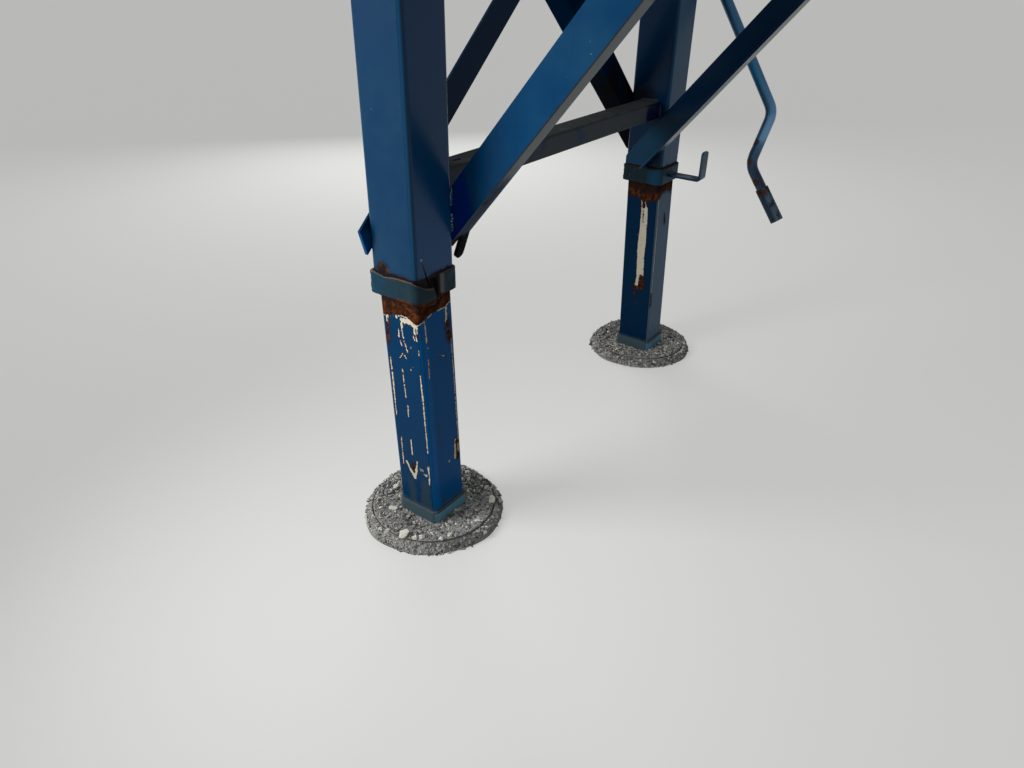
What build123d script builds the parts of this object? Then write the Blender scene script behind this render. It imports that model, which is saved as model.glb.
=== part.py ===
"""Landing gear of a semi trailer: two square telescopic support legs, standing on their feet.

Millimetres. +X is the trailer's front, +Y its left (the crank's side), +Z is up. The origin is
on the ground, midway between the legs' upper tubes. The legs are wound out nearly to their end.
"""
import os
from math import atan, cos, pi, radians, sin, tan

from build123d import *

# Legs
TRACK = 1168.4                 # leg centre to leg centre, 46 in
TUBE = 128.0                   # outer tube across its flats
TUBE_WALL = 4.0
TUBE_CORNER = 11.0
TUBE_BOTTOM = 620.0            # height of the outer tube's lower end as it stands
TUBE_LENGTH = 780.0
INNER = 114.3                  # inner tube across its flats, 4.5 in
INNER_WALL = 6.4
INNER_CORNER = 9.0
INNER_OVERLAP = 140.0          # what is left inside the outer tube
LEAN = 2.1                     # the worn inner legs lean forward in their tubes, degrees
COLLAR_WALL = 6.4              # band round the outer tube's lower end
COLLAR_HEIGHT = 51.0
CAP_THICK = 5.0
CAP_LIP = 4.0                  # how far the cap stands out past the tube

CUT = 1.0                      # how far a cutter runs past the face that it cuts

# Damage at the right leg's lower end: a piece of band and tube is gone and a crack runs up
TEAR_MIDDLE = 7.3              # outboard of the front face's middle
TEAR_WIDTH = 29.0
TEAR_HEIGHT = 48.0
TEAR_FRAY = 4.0                # how far the torn edges come and go
CRACK_FOOT = 20.0              # outboard of the front face's middle, where the crack starts
CRACK_TIP = 43.0
CRACK_WIDTH = 8.0
CRACK_HEIGHT = 97.0

# Feet
SHOE_RADIUS = 160.0
SHOE_PLATE = 8.0
SHOE_RIM = 26.0                # height of the dished rim
SOCKET_WALL = 6.0              # short square socket that the inner tube is welded into
SOCKET_HEIGHT = 38.0
GRAVEL_RADIUS = 172.0          # packed gravel round the dish, at its widest
GRAVEL_RAGGED = 5.0            # how far that outline comes and goes
GRAVEL_SIDES = 22
GRAVEL_EDGE = 14.0             # height of the widest line
GRAVEL_BEVEL = 7.0             # how far the side turns in, above and below that line
GRAVEL_BERM = 22.0             # height of the berm outside the rim
GRAVEL_BOWL = 10.0             # how far the gravel in the dish lies below its rim, at the leg
GRAVEL_BOWL_FOOT = 96.0        # radius where the bowl's slope ends
GRAVEL_BOWL_RIM = 148.0
GRAVEL_LOBES = ((3, 0.6, 0.6), (7, 2.1, 0.4))   # count, phase and share of the outline's waves

# Drag braces, angle iron from each leg forward and up to the trailer's frame
DRAG_WEB = 76.2
DRAG_FLANGE = 50.8
DRAG_THICK = 8.0
DRAG_RISE = 12.0               # rises 12 in 10 forward
DRAG_RUN = 10.0
DRAG_HEEL_X = 61.0             # a point that the heel passes, at the leg's front face
DRAG_HEEL_Z = 728.0
DRAG_TOP = 1385.0
DRAG_LOW = 5.0                 # level cut of the web above the collar
DRAG_BACK = 4.0                # web's back end from the tube's back
FLANGE_LOST = 30.0             # torn off the right flange, above the web's level cut
TONGUE_SPLIT = 30.0            # above that its inboard part is split away, and hangs bent down
TONGUE_WIDTH = 26.0
TONGUE_LENGTH = 68.0
TONGUE_BEND = 20.0
DRAG_HOLE_DROP = 38.0          # bolt line below the top cut
DRAG_HOLE_SPACING = 50.0

# Sway braces, angle iron across the backs of the legs, meeting at the middle
SWAY_WEB = 70.0
SWAY_THICK = 8.0
SWAY_HEEL_Z = 748.7            # height of the heel at the leg's middle
SWAY_APEX_Z = 1262.8           # and where the two would meet
SWAY_TAIL = 20.0               # how far the cut end stands out past the leg
SWAY_TIP = 696.0               # the right brace's tip is cut level
SWAY_END_TILT = 16.0           # slant of that cut
SWAY_TOE_CORNER = 28.0         # the left brace's flange ends in a round corner
SWAY_COPE = 140.0              # the right brace's flange is cut off this far before its end
SWAY_COPE_DEPTH = 16.0
SWAY_MEET = 12.0               # half the gap between the two upper ends
ROOT_RADIUS = 7.0              # inside corner of an angle iron
TOE_RADIUS = 3.5               # its legs' rounded edges

# Cross member and the plate at the sway braces' apex
MEMBER_WIDTH = 76.2
MEMBER_HEIGHT = 50.8
MEMBER_WALL = 5.0
MEMBER_CORNER = 9.0
MEMBER_BOTTOM = 825.0
MEMBER_SLOT = 26.0             # slot in the upper face, near the right leg
MEMBER_SLOT_WIDTH = 10.0
MEMBER_SLOT_AT = 96.0          # from that leg's face
GUSSET_WIDTH = 300.0
GUSSET_FOOT = 190.0            # width along the lower edge
GUSSET_BOTTOM = 1185.0
GUSSET_TOP = 1385.0
GUSSET_THICK = 10.0
GUSSET_HOLE_SPACING = 200.0
GUSSET_HOLE_DROP = 34.0

# Mounting plates on the legs' inboard faces, bolted to the trailer's frame
PLATE_WIDTH = 236.0
PLATE_HEIGHT = 176.0
PLATE_THICK = 10.0
PLATE_CORNER = 18.0
PLATE_HOLES_X = 184.0
PLATE_HOLES_Z = 116.0
RIB_REACH = 40.0               # stiffeners between the plate's wings and the tube
RIB_THICK = 8.0
BOLT_HOLE = 8.75               # radius, for 5/8 in bolts

# Drive across the two legs
SHAFT_DROP = 36.0              # cross shaft's axis below the tubes' top
SHAFT_RADIUS = 12.7
BOSS_RADIUS = 27.0
BOSS_LENGTH = 22.0
BOSS_CLEAR = 3.0               # round the boss, in the mounting plate
STUB_OUT = 74.0                # stub shaft's free end from the leg's face
STUB_IN = 30.0
CROSS_TUBE_RADIUS = 17.0
CROSS_TUBE_WALL = 4.0
CROSS_TUBE_GRIP = 46.0         # how far the tube reaches over each stub
COUPLING_BOLT = 4.0            # radius
COUPLING_HEAD = 8.4            # radius of its head and nut, across the corners
COUPLING_HEAD_THICK = 5.6
COUPLING_SEAT = 0.1            # under the head and the nut
RUNNING = 0.05                 # radial clearance of a running fit

# Gear cover on the left leg, with the crank's shaft
COVER_WIDTH = 116.0
COVER_HEIGHT = 150.0
COVER_DEPTH = 50.0
COVER_CORNER = 20.0
COVER_DRAFT = 6.0
COVER_EDGE = 6.0
COVER_RIM = 4.0                # flange round the cover's foot
COVER_RIM_THICK = 5.0
COVER_DROP = 4.0               # cover's foot below the tube's top
BUSH_WALL = 9.0
BUSH_OUT = 8.0
INPUT_DROP = 42.0              # crank shaft's axis below the cross shaft's
INPUT_RADIUS = 12.7
INPUT_IN = 34.0
CAP_BEARING_RADIUS = 34.0      # pressed cap over the right leg's bearing
CAP_BEARING_DEPTH = 14.0
CAP_BEARING_EDGE = 4.0

# Crank, hanging from its pin and leaning forward as it was left
CRANK_OUT = 96.8               # the crank's pin, out from the leg's face
CRANK_LEAN = 33.7
CRANK_PIPE = 16.7              # radius, 1 in pipe
CRANK_WALL = 3.4
CRANK_ARM = 572.0
CRANK_OFFSET = 174.0
CRANK_GRIP = 205.0
CRANK_TURN = 47.8
CRANK_SPLAY = 2.4              # the grip is bent a little forward of the arm's line
CRANK_BEND = 62.0
SLEEVE_WALL = 3.6
SLEEVE_LENGTH = 118.0
SLEEVE_FIT = 0.3
YOKE_GAP = 0.4                 # each side of the shaft's flat
YOKE_EAR = 7.0
YOKE_WIDTH = 30.0
YOKE_BRIDGE = 10.0             # block that joins the two ears
YOKE_LENGTH = 62.0
FLAT_THICK = 14.0              # the shaft's end, flattened for the pin
FLAT_LENGTH = 32.0
FLAT_ROOT = 4.0                # longer than the round of the yoke, at its inner end
PIN_RADIUS = 6.0
PIN_HEAD = 9.5
PIN_HEAD_THICK = 5.0
PIN_TAIL = 5.0                 # past the yoke at each end

# Hook that holds the stowed crank, on the left collar
HOOK_WIDTH = 42.0
HOOK_THICK = 7.0
HOOK_REACH = 112.0
HOOK_RISE = 92.0
HOOK_Z = 641.0
HOOK_BEND = 12.0
HOOK_ROUND = 11.0              # corners of its upper end

SIDES = (("right", -1), ("left", 1))
HALF = TUBE / 2
TUBE_TOP = TUBE_BOTTOM + TUBE_LENGTH
FACE_IN = TRACK / 2 - HALF     # inboard face's distance from the middle
FACE_OUT = TRACK / 2 + HALF
SHAFT_Z = TUBE_TOP - SHAFT_DROP
INPUT_Z = SHAFT_Z - INPUT_DROP
CRANK_PLANE = FACE_OUT + CRANK_OUT
LEAN_Z = TUBE_BOTTOM + INNER_OVERLAP / 2
FOOT_X = LEAN_Z * tan(radians(LEAN))
DRAG_SLOPE = DRAG_RISE / DRAG_RUN
SWAY_SLOPE = (SWAY_APEX_Z - SWAY_HEEL_Z) / (TRACK / 2)


def save(node, shape):
    """Write one sub-part under its node's name."""
    export_step(shape, f"parts/{node}.step")


def mirrored(shape, side):
    """A piece drawn for the left side, on the side that is asked for."""
    return shape if side > 0 else mirror(shape, Plane.XZ)


def square_ring(size, wall, corner, inner_corner=None):
    """Section of a square tube with rolled corners."""
    bore_corner = corner - wall if inner_corner is None else inner_corner
    bore = RectangleRounded(size - 2 * wall, size - 2 * wall, bore_corner)
    return RectangleRounded(size, size, corner) - bore


def angle_section(web, flange, thick):
    """L section with its heel at the origin, the web along +Y and the flange along +X."""
    corners = ((0, 0), (flange, 0), (flange, thick), (thick, thick), (thick, web), (0, web))
    face = make_face(Polyline(*corners, close=True))
    root = face.vertices().sort_by_distance((thick, thick, 0))[0]
    face = fillet([root], ROOT_RADIUS)
    toes = [face.vertices().sort_by_distance(point)[0] for point in ((flange, thick, 0), (thick, web, 0))]
    return fillet(toes, TOE_RADIUS)


def along_y(radius, start, end, x, z):
    """Round bar along Y from start to end."""
    disc = Plane((x, start, z), x_dir=(1, 0, 0), z_dir=(0, 1, 0)) * Circle(radius)
    return extrude(disc, end - start)


def outer_tube():
    tube = extrude(Pos(0, TRACK / 2, TUBE_BOTTOM) * square_ring(TUBE, TUBE_WALL, TUBE_CORNER), TUBE_LENGTH)
    return tube - along_y(SHAFT_RADIUS + TUBE_WALL, FACE_IN - CUT, FACE_IN + TUBE_WALL + CUT, 0, SHAFT_Z)


def collar():
    size = TUBE + 2 * COLLAR_WALL
    corner = TUBE_CORNER + COLLAR_WALL
    ring = square_ring(size, COLLAR_WALL, corner, TUBE_CORNER)
    return extrude(Pos(0, TRACK / 2, TUBE_BOTTOM) * ring, COLLAR_HEIGHT)


def tear():
    """What is torn out of the front of the right leg's lower end, with the crack above it."""
    depth = 2 * (TUBE_WALL + COLLAR_WALL)
    plane = Plane((HALF - TUBE_WALL - CUT, TRACK / 2, TUBE_BOTTOM), x_dir=(0, 1, 0), z_dir=(1, 0, 0))
    left = TEAR_MIDDLE - TEAR_WIDTH / 2
    right = TEAR_MIDDLE + TEAR_WIDTH / 2
    gap = Polyline(
        (left, -CUT),
        (right - TEAR_FRAY, -CUT),
        (right, TEAR_HEIGHT * 2 / 3),
        (right - TEAR_FRAY, TEAR_HEIGHT),
        (left + TEAR_FRAY, TEAR_HEIGHT - TEAR_FRAY),
        (left, TEAR_HEIGHT / 2),
        close=True,
    )
    crack = Polyline(
        (CRACK_FOOT - CRACK_WIDTH / 2, TEAR_HEIGHT / 2),
        (CRACK_FOOT + CRACK_WIDTH / 2, TEAR_HEIGHT / 2),
        (CRACK_TIP, CRACK_HEIGHT),
        close=True,
    )
    return extrude(plane * make_face(gap), depth), extrude(plane * make_face(crack), depth)


def leaning(section):
    """The inner leg's section run along its leaning axis and cut level at the shoe's plate."""
    down = LEAN_Z + INNER
    place = Pos(0, TRACK / 2, LEAN_Z) * Rot(0, -LEAN, 0) * Pos(0, 0, -down)
    bar = extrude(place * section, down + INNER_OVERLAP / 2)
    floor = Box(3 * INNER, 3 * INNER, 3 * INNER, align=(Align.CENTER, Align.CENTER, Align.MAX))
    return bar - Pos(FOOT_X, TRACK / 2, SHOE_PLATE) * floor


def inner_tube():
    """Inner leg, tilted about the middle of its overlap."""
    return leaning(square_ring(INNER, INNER_WALL, INNER_CORNER))


def dish_solid():
    """The shoe's round dish, its floor pressed flat and its rim turned up."""
    turn = SHOE_PLATE / 2
    profile = Polyline(
        (0, 0),
        (SHOE_RADIUS - SHOE_RIM, 0),
        (SHOE_RADIUS, SHOE_RIM),
        (SHOE_RADIUS - SHOE_PLATE, SHOE_RIM),
        (SHOE_RADIUS - SHOE_RIM - turn, SHOE_PLATE),
        (0, SHOE_PLATE),
        close=True,
    )
    return Pos(FOOT_X, TRACK / 2, 0) * revolve(Plane.XZ * make_face(profile), Axis.Z)


def foot_shoe():
    """The dish with the short square socket that the inner leg is welded into."""
    side = INNER + 2 * SOCKET_WALL
    block = extrude(RectangleRounded(side, side, INNER_CORNER + SOCKET_WALL), SOCKET_HEIGHT)
    socket = Pos(FOOT_X, TRACK / 2, SHOE_PLATE) * block
    return dish_solid() + (socket - leaning(RectangleRounded(INNER, INNER, INNER_CORNER)))


def even_ring(radius, height, about=False):
    """Many-sided outline at one height, its corners on a circle or its sides about one."""
    return Pos(0, 0, height) * RegularPolygon(radius, GRAVEL_SIDES, major_radius=not about)


def ragged_ring(radius, height):
    """The gravel's uneven outline, at one height."""
    points = []
    for index in range(GRAVEL_SIDES):
        angle = 2 * pi * index / GRAVEL_SIDES
        wave = sum(share * sin(count * angle + phase) for count, phase, share in GRAVEL_LOBES)
        reach = radius + GRAVEL_RAGGED * wave
        points.append((reach * cos(angle), reach * sin(angle)))
    return Pos(0, 0, height) * make_face(Polyline(*points, close=True))


def packed_gravel():
    """Crushed stone packed in the dish, lowest at the leg, and in a berm round its rim."""
    narrow = GRAVEL_RADIUS - GRAVEL_BEVEL
    lower = loft([ragged_ring(narrow, 0), ragged_ring(GRAVEL_RADIUS, GRAVEL_EDGE)], ruled=True)
    upper = loft([ragged_ring(GRAVEL_RADIUS, GRAVEL_EDGE), ragged_ring(narrow, GRAVEL_BERM)], ruled=True)
    foot = SHOE_RADIUS - SHOE_RIM
    beyond = [even_ring(foot, 0, about=True), even_ring(foot + GRAVEL_BERM, GRAVEL_BERM, about=True)]
    berm = lower + upper - loft(beyond, ruled=True)

    floor = foot - SHOE_PLATE / 2
    within = [even_ring(floor, SHOE_PLATE), even_ring(SHOE_RADIUS - SHOE_PLATE, SHOE_RIM)]
    low = SHOE_RIM - GRAVEL_BOWL
    bowl = loft([even_ring(GRAVEL_BOWL_FOOT, low), even_ring(GRAVEL_BOWL_RIM, SHOE_RIM)], ruled=True)
    side = INNER + 2 * SOCKET_WALL
    hole = extrude(RectangleRounded(side, side, INNER_CORNER + SOCKET_WALL), 2 * SHOE_RIM)
    bed = loft(within, ruled=True) - bowl - hole
    return Pos(FOOT_X, TRACK / 2, 0) * Compound([bed.solid(), berm.solid()])


def top_cap():
    size = TUBE + 2 * CAP_LIP
    face = RectangleRounded(size, size, TUBE_CORNER + CAP_LIP)
    return extrude(Pos(0, TRACK / 2, TUBE_TOP) * face, CAP_THICK)


def mount_plate():
    """Wing plate in the X-Z plane, its top level with the tube's, bored for the shaft's boss."""
    middle_z = TUBE_TOP - PLATE_HEIGHT / 2
    plane = Plane((0, FACE_IN, middle_z), x_dir=(1, 0, 0), z_dir=(0, -1, 0))
    holes = GridLocations(PLATE_HOLES_X, PLATE_HOLES_Z, 2, 2) * Circle(BOLT_HOLE)
    bore = Pos(0, SHAFT_Z - middle_z) * Circle(BOSS_RADIUS + BOSS_CLEAR)
    face = RectangleRounded(PLATE_WIDTH, PLATE_HEIGHT, PLATE_CORNER) - holes - bore
    plate = extrude(plane * face, PLATE_THICK)
    corner = make_face(Polyline((HALF, 0), (HALF + RIB_REACH, 0), (HALF, RIB_REACH), close=True))
    rib = extrude(Pos(0, FACE_IN, middle_z - RIB_THICK / 2) * corner, RIB_THICK)
    return plate + rib + mirror(rib, Plane.YZ)


def shaft_boss():
    boss = along_y(BOSS_RADIUS, FACE_IN - BOSS_LENGTH, FACE_IN, 0, SHAFT_Z)
    return boss - along_y(SHAFT_RADIUS + RUNNING, FACE_IN - BOSS_LENGTH - CUT, FACE_IN + CUT, 0, SHAFT_Z)


def drag_brace():
    """Angle iron: web flat on the leg's inboard face, flange along its lower edge, turned inboard."""
    rise = atan(DRAG_SLOPE)
    plane = Plane((DRAG_HEEL_X, FACE_IN, DRAG_HEEL_Z), x_dir=(0, -1, 0), z_dir=(cos(rise), 0, sin(rise)))
    section = mirror(angle_section(DRAG_WEB, DRAG_FLANGE, DRAG_THICK), Plane.XZ)
    reach = 2 * DRAG_WEB + (DRAG_TOP - DRAG_HEEL_Z) / sin(rise)
    bar = extrude(plane * section, reach) + extrude(plane * section, -2 * DRAG_WEB)
    low = TUBE_BOTTOM + COLLAR_HEIGHT + DRAG_LOW
    span = DRAG_TOP - low
    forward = 2 * (DRAG_TOP - DRAG_HEEL_Z)
    keep = Box(forward, 4 * DRAG_FLANGE, span, align=(Align.MIN, Align.CENTER, Align.MIN))
    brace = bar & (Pos(DRAG_BACK - HALF, FACE_IN, low) * keep)
    hole_z = DRAG_TOP - DRAG_HOLE_DROP
    middle = DRAG_HEEL_X + (hole_z - DRAG_HEEL_Z) / DRAG_SLOPE - DRAG_WEB / sin(rise) / 2
    for hole_x in (middle - DRAG_HOLE_SPACING / 2, middle + DRAG_HOLE_SPACING / 2):
        brace -= along_y(BOLT_HOLE, FACE_IN - DRAG_THICK - CUT, FACE_IN + CUT, hole_x, hole_z)
    return brace


def torn_drag_brace():
    """The right brace: its flange's lower end is torn off, and a split part of it hangs bent."""
    low = TUBE_BOTTOM + COLLAR_HEIGHT + DRAG_LOW
    corner = (Align.CENTER, Align.MAX, Align.MIN)
    lost = Box(2 * TUBE, 2 * DRAG_FLANGE, FLANGE_LOST, align=corner)
    brace = drag_brace() - Pos(0, FACE_IN - DRAG_THICK, low) * lost
    split = Box(2 * TUBE, 2 * DRAG_FLANGE, FLANGE_LOST + TONGUE_SPLIT, align=corner)
    brace -= Pos(0, FACE_IN - DRAG_FLANGE + TONGUE_WIDTH + CUT, low) * split

    rise = atan(DRAG_SLOPE) + radians(TONGUE_BEND)
    start_z = low + FLANGE_LOST + TONGUE_SPLIT + DRAG_THICK / 4
    start_x = DRAG_HEEL_X + (start_z - DRAG_HEEL_Z) / DRAG_SLOPE
    plane = Plane(
        (start_x, FACE_IN - DRAG_FLANGE + TONGUE_WIDTH / 2, start_z),
        x_dir=(-cos(rise), 0, -sin(rise)),
        z_dir=(-sin(rise), 0, cos(rise)),
    )
    straight = TONGUE_LENGTH - TONGUE_WIDTH / 2
    face = Pos(straight / 2, 0) * Rectangle(straight, TONGUE_WIDTH)
    face += Pos(straight, 0) * Circle(TONGUE_WIDTH / 2)
    return brace + extrude(plane * face, DRAG_THICK)


def sway_brace(side):
    """Angle iron: one leg flat on the tube's back, the other along its lower edge, turned back."""
    fall = atan(SWAY_SLOPE)
    direction = (0, cos(fall), -sin(fall))
    plane = Plane((-HALF, TRACK / 2, SWAY_HEEL_Z), x_dir=(-1, 0, 0), z_dir=direction)
    bar = extrude(plane * angle_section(SWAY_WEB, SWAY_WEB, SWAY_THICK), 2 * TRACK, both=True)
    width = FACE_OUT + 2 * SWAY_WEB - SWAY_MEET
    bar = bar & (Pos(-HALF, SWAY_MEET + width / 2, SWAY_HEEL_Z) * Box(4 * SWAY_WEB, width, 3 * TRACK))

    end = (HALF + SWAY_TAIL) / cos(fall)
    wide, far = 4 * SWAY_WEB, 8 * SWAY_WEB
    past = Box(wide, wide, far, align=(Align.CENTER, Align.CENTER, Align.MIN))
    if side == "right":
        lost = Box(wide, 2 * SWAY_COPE_DEPTH, far, align=(Align.CENTER, Align.CENTER, Align.MIN))
        bar -= plane * Pos(0, 0, end - SWAY_COPE) * lost
        bar -= plane * Pos(SWAY_THICK + 2 * SWAY_WEB, 0, end - SWAY_COPE) * past
        below = Box(wide, far, far, align=(Align.CENTER, Align.CENTER, Align.MAX))
        bar -= Pos(-HALF, FACE_OUT, SWAY_TIP) * below
    else:
        toe = Rectangle(SWAY_TOE_CORNER, SWAY_TOE_CORNER, align=(Align.MIN, Align.MAX))
        toe -= Circle(SWAY_TOE_CORNER)
        cutter = mirror(extrude(Rot(90, 0, 0) * toe, SWAY_TOE_CORNER, both=True), Plane.XY)
        bar -= plane * Pos(0, 0, end) * past
        bar -= plane * Pos(SWAY_WEB - SWAY_TOE_CORNER, 0, end - SWAY_TOE_CORNER) * cutter
    slant = Box(2 * SWAY_THICK, wide, far, align=(Align.CENTER, Align.MIN, Align.CENTER))
    return bar - Pos(-HALF, FACE_OUT + SWAY_TAIL, SWAY_HEEL_Z) * Rot(-SWAY_END_TILT, 0, 0) * slant


def cross_member():
    plane = Plane((0, -FACE_IN, MEMBER_BOTTOM + MEMBER_HEIGHT / 2), x_dir=(1, 0, 0), z_dir=(0, 1, 0))
    inner_width = MEMBER_WIDTH - 2 * MEMBER_WALL
    inner_height = MEMBER_HEIGHT - 2 * MEMBER_WALL
    section = RectangleRounded(MEMBER_WIDTH, MEMBER_HEIGHT, MEMBER_CORNER)
    section -= RectangleRounded(inner_width, inner_height, MEMBER_CORNER - MEMBER_WALL)
    member = extrude(plane * section, 2 * FACE_IN)
    slot = Box(MEMBER_SLOT_WIDTH, MEMBER_SLOT, 3 * MEMBER_WALL)
    return member - Pos(0, MEMBER_SLOT_AT - FACE_IN, MEMBER_BOTTOM + MEMBER_HEIGHT) * slot


def apex_gusset():
    height = GUSSET_TOP - GUSSET_BOTTOM
    plane = Plane((-HALF, 0, GUSSET_BOTTOM), x_dir=(0, 1, 0), z_dir=(1, 0, 0))
    outline = Polyline(
        (-GUSSET_FOOT / 2, 0),
        (GUSSET_FOOT / 2, 0),
        (GUSSET_WIDTH / 2, height / 2),
        (GUSSET_WIDTH / 2, height),
        (-GUSSET_WIDTH / 2, height),
        (-GUSSET_WIDTH / 2, height / 2),
        close=True,
    )
    face = make_face(outline)
    for side in (-1, 1):
        face -= Pos(side * GUSSET_HOLE_SPACING / 2, height - GUSSET_HOLE_DROP) * Circle(BOLT_HOLE)
    return extrude(plane * face, GUSSET_THICK)


def stub_shaft():
    """Stub of the leg's own shaft, bored across for the coupling bolt."""
    shaft = along_y(SHAFT_RADIUS, FACE_IN - STUB_OUT, FACE_IN + STUB_IN, 0, SHAFT_Z)
    middle = FACE_IN - STUB_OUT + CROSS_TUBE_GRIP / 2
    return shaft - Pos(0, middle, SHAFT_Z) * Cylinder(COUPLING_BOLT, 4 * SHAFT_RADIUS)


def cross_tube():
    end = FACE_IN - STUB_OUT + CROSS_TUBE_GRIP
    tube = along_y(CROSS_TUBE_RADIUS, -end, end, 0, SHAFT_Z)
    tube -= along_y(CROSS_TUBE_RADIUS - CROSS_TUBE_WALL, -end, end, 0, SHAFT_Z)
    for side in (-1, 1):
        middle = side * (FACE_IN - STUB_OUT + CROSS_TUBE_GRIP / 2)
        tube -= Pos(0, middle, SHAFT_Z) * Cylinder(COUPLING_BOLT, 4 * CROSS_TUBE_RADIUS)
    return tube


def coupling_bolts():
    """A bolt through the tube and each stub, with a hexagon head and nut."""
    head = extrude(RegularPolygon(COUPLING_HEAD, 6), COUPLING_HEAD_THICK)
    reach = CROSS_TUBE_RADIUS + COUPLING_SEAT
    bolts = []
    for side in (-1, 1):
        middle = side * (FACE_IN - STUB_OUT + CROSS_TUBE_GRIP / 2)
        shank = Cylinder(COUPLING_BOLT - RUNNING, 2 * reach)
        upper = Pos(0, 0, reach) * head
        lower = mirror(upper, Plane.XY)
        bolts.append(Pos(0, middle, SHAFT_Z) * (shank + upper + lower))
    return Compound(bolts)


def gear_cover():
    """Pressed cover over the gears on the left leg's outboard face, with the crank shaft's bush."""
    middle_z = TUBE_TOP - COVER_HEIGHT / 2 - COVER_DROP
    base = Plane((0, FACE_OUT, middle_z), x_dir=(1, 0, 0), z_dir=(0, 1, 0))
    section = RectangleRounded(COVER_WIDTH, COVER_HEIGHT, COVER_CORNER)
    cover = extrude(base * section, COVER_DEPTH, taper=COVER_DRAFT)
    outer = cover.faces().sort_by(Axis.Y)[-1]
    cover = chamfer(outer.edges(), COVER_EDGE)
    spread = 2 * COVER_RIM
    rim = RectangleRounded(COVER_WIDTH + spread, COVER_HEIGHT + spread, COVER_CORNER + COVER_RIM)
    cover += extrude(base * rim, COVER_RIM_THICK)
    bush_end = FACE_OUT + COVER_DEPTH + BUSH_OUT
    cover += along_y(INPUT_RADIUS + BUSH_WALL, FACE_OUT + CUT, bush_end, 0, INPUT_Z)
    bore_start = FACE_OUT + COVER_DEPTH - INPUT_IN
    return cover - along_y(INPUT_RADIUS + RUNNING, bore_start, bush_end + CUT, 0, INPUT_Z)


def bearing_cap():
    cap = along_y(CAP_BEARING_RADIUS, FACE_OUT, FACE_OUT + CAP_BEARING_DEPTH, 0, SHAFT_Z)
    return chamfer(cap.faces().sort_by(Axis.Y)[-1].edges(), CAP_BEARING_EDGE)


def crank_place():
    """Frame at the crank's pin: X along the pin, Z back up the hanging arm, Y outboard."""
    return Pos(0, CRANK_PLANE, INPUT_Z) * Rot(0, -CRANK_LEAN, 0)


def input_shaft():
    """Crank shaft, its free end flattened and drilled for the crank's pin."""
    start = FACE_OUT + COVER_DEPTH - INPUT_IN + CUT
    flat_start = CRANK_PLANE - FLAT_LENGTH / 2 - FLAT_ROOT
    round_bar = along_y(INPUT_RADIUS, start, flat_start + CUT, 0, INPUT_Z)
    blade = Box(FLAT_THICK, FLAT_LENGTH + FLAT_ROOT, 2 * INPUT_RADIUS)
    eye = Rot(0, 90, 0) * Cylinder(PIN_RADIUS + RUNNING, 4 * FLAT_THICK)
    end = crank_place() * (Pos(0, -FLAT_ROOT / 2, 0) * blade - eye)
    return round_bar + end


def crank_yoke():
    """Two ears that straddle the shaft's flat, joined to a spigot inside the crank's pipe."""
    half_gap = FLAT_THICK / 2 + YOKE_GAP
    face = Circle(YOKE_WIDTH / 2) + Pos(0, -YOKE_LENGTH / 2) * Rectangle(YOKE_WIDTH, YOKE_LENGTH)
    face -= Circle(PIN_RADIUS + RUNNING)
    side = Plane((half_gap, 0, 0), x_dir=(0, 1, 0), z_dir=(1, 0, 0))
    ear = extrude(side * face, YOKE_EAR)
    bridge = Box(2 * half_gap, YOKE_WIDTH, YOKE_BRIDGE, align=(Align.CENTER, Align.CENTER, Align.MIN))
    return crank_place() * (ear + mirror(ear, Plane.YZ) + Pos(0, 0, -YOKE_LENGTH) * bridge)


def clevis_pin():
    half = FLAT_THICK / 2 + YOKE_GAP + YOKE_EAR
    pin = Cylinder(PIN_RADIUS, 2 * (half + PIN_TAIL))
    head = Pos(0, 0, half + PIN_HEAD_THICK / 2) * Cylinder(PIN_HEAD, PIN_HEAD_THICK)
    return crank_place() * (Rot(0, 90, 0) * (pin + head))


def grip_direction():
    splay = radians(CRANK_SPLAY)
    return Vector(sin(splay), 0, -cos(splay))


def crank_path():
    """Centre line from the yoke down the arm, through the offset and along the grip."""
    arm = Vector(0, 0, -1)
    turn = radians(CRANK_TURN)
    offset = Vector(-sin(turn), 0, -cos(turn))
    start = arm * YOKE_LENGTH
    bend = arm * CRANK_ARM
    elbow = bend + offset * CRANK_OFFSET
    end = elbow + grip_direction() * CRANK_GRIP
    return FilletPolyline(start, bend, elbow, end, radius=CRANK_BEND)


def crank_arm():
    path = crank_path()
    plane = Plane(path @ 0, z_dir=path % 0)
    ring = Circle(CRANK_PIPE) - Circle(CRANK_PIPE - CRANK_WALL)
    return crank_place() * sweep(plane * ring, path)


def crank_grip():
    """Loose sleeve on the crank's free end, held here by its crimped end."""
    path = crank_path()
    end = path @ 1
    bore = CRANK_PIPE + SLEEVE_FIT
    sleeve = Cylinder(bore + SLEEVE_WALL, SLEEVE_LENGTH) - Cylinder(bore, SLEEVE_LENGTH)
    middle = end - grip_direction() * (SLEEVE_LENGTH / 2)
    return crank_place() * Pos(middle) * Rot(0, -CRANK_SPLAY, 0) * sleeve


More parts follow.
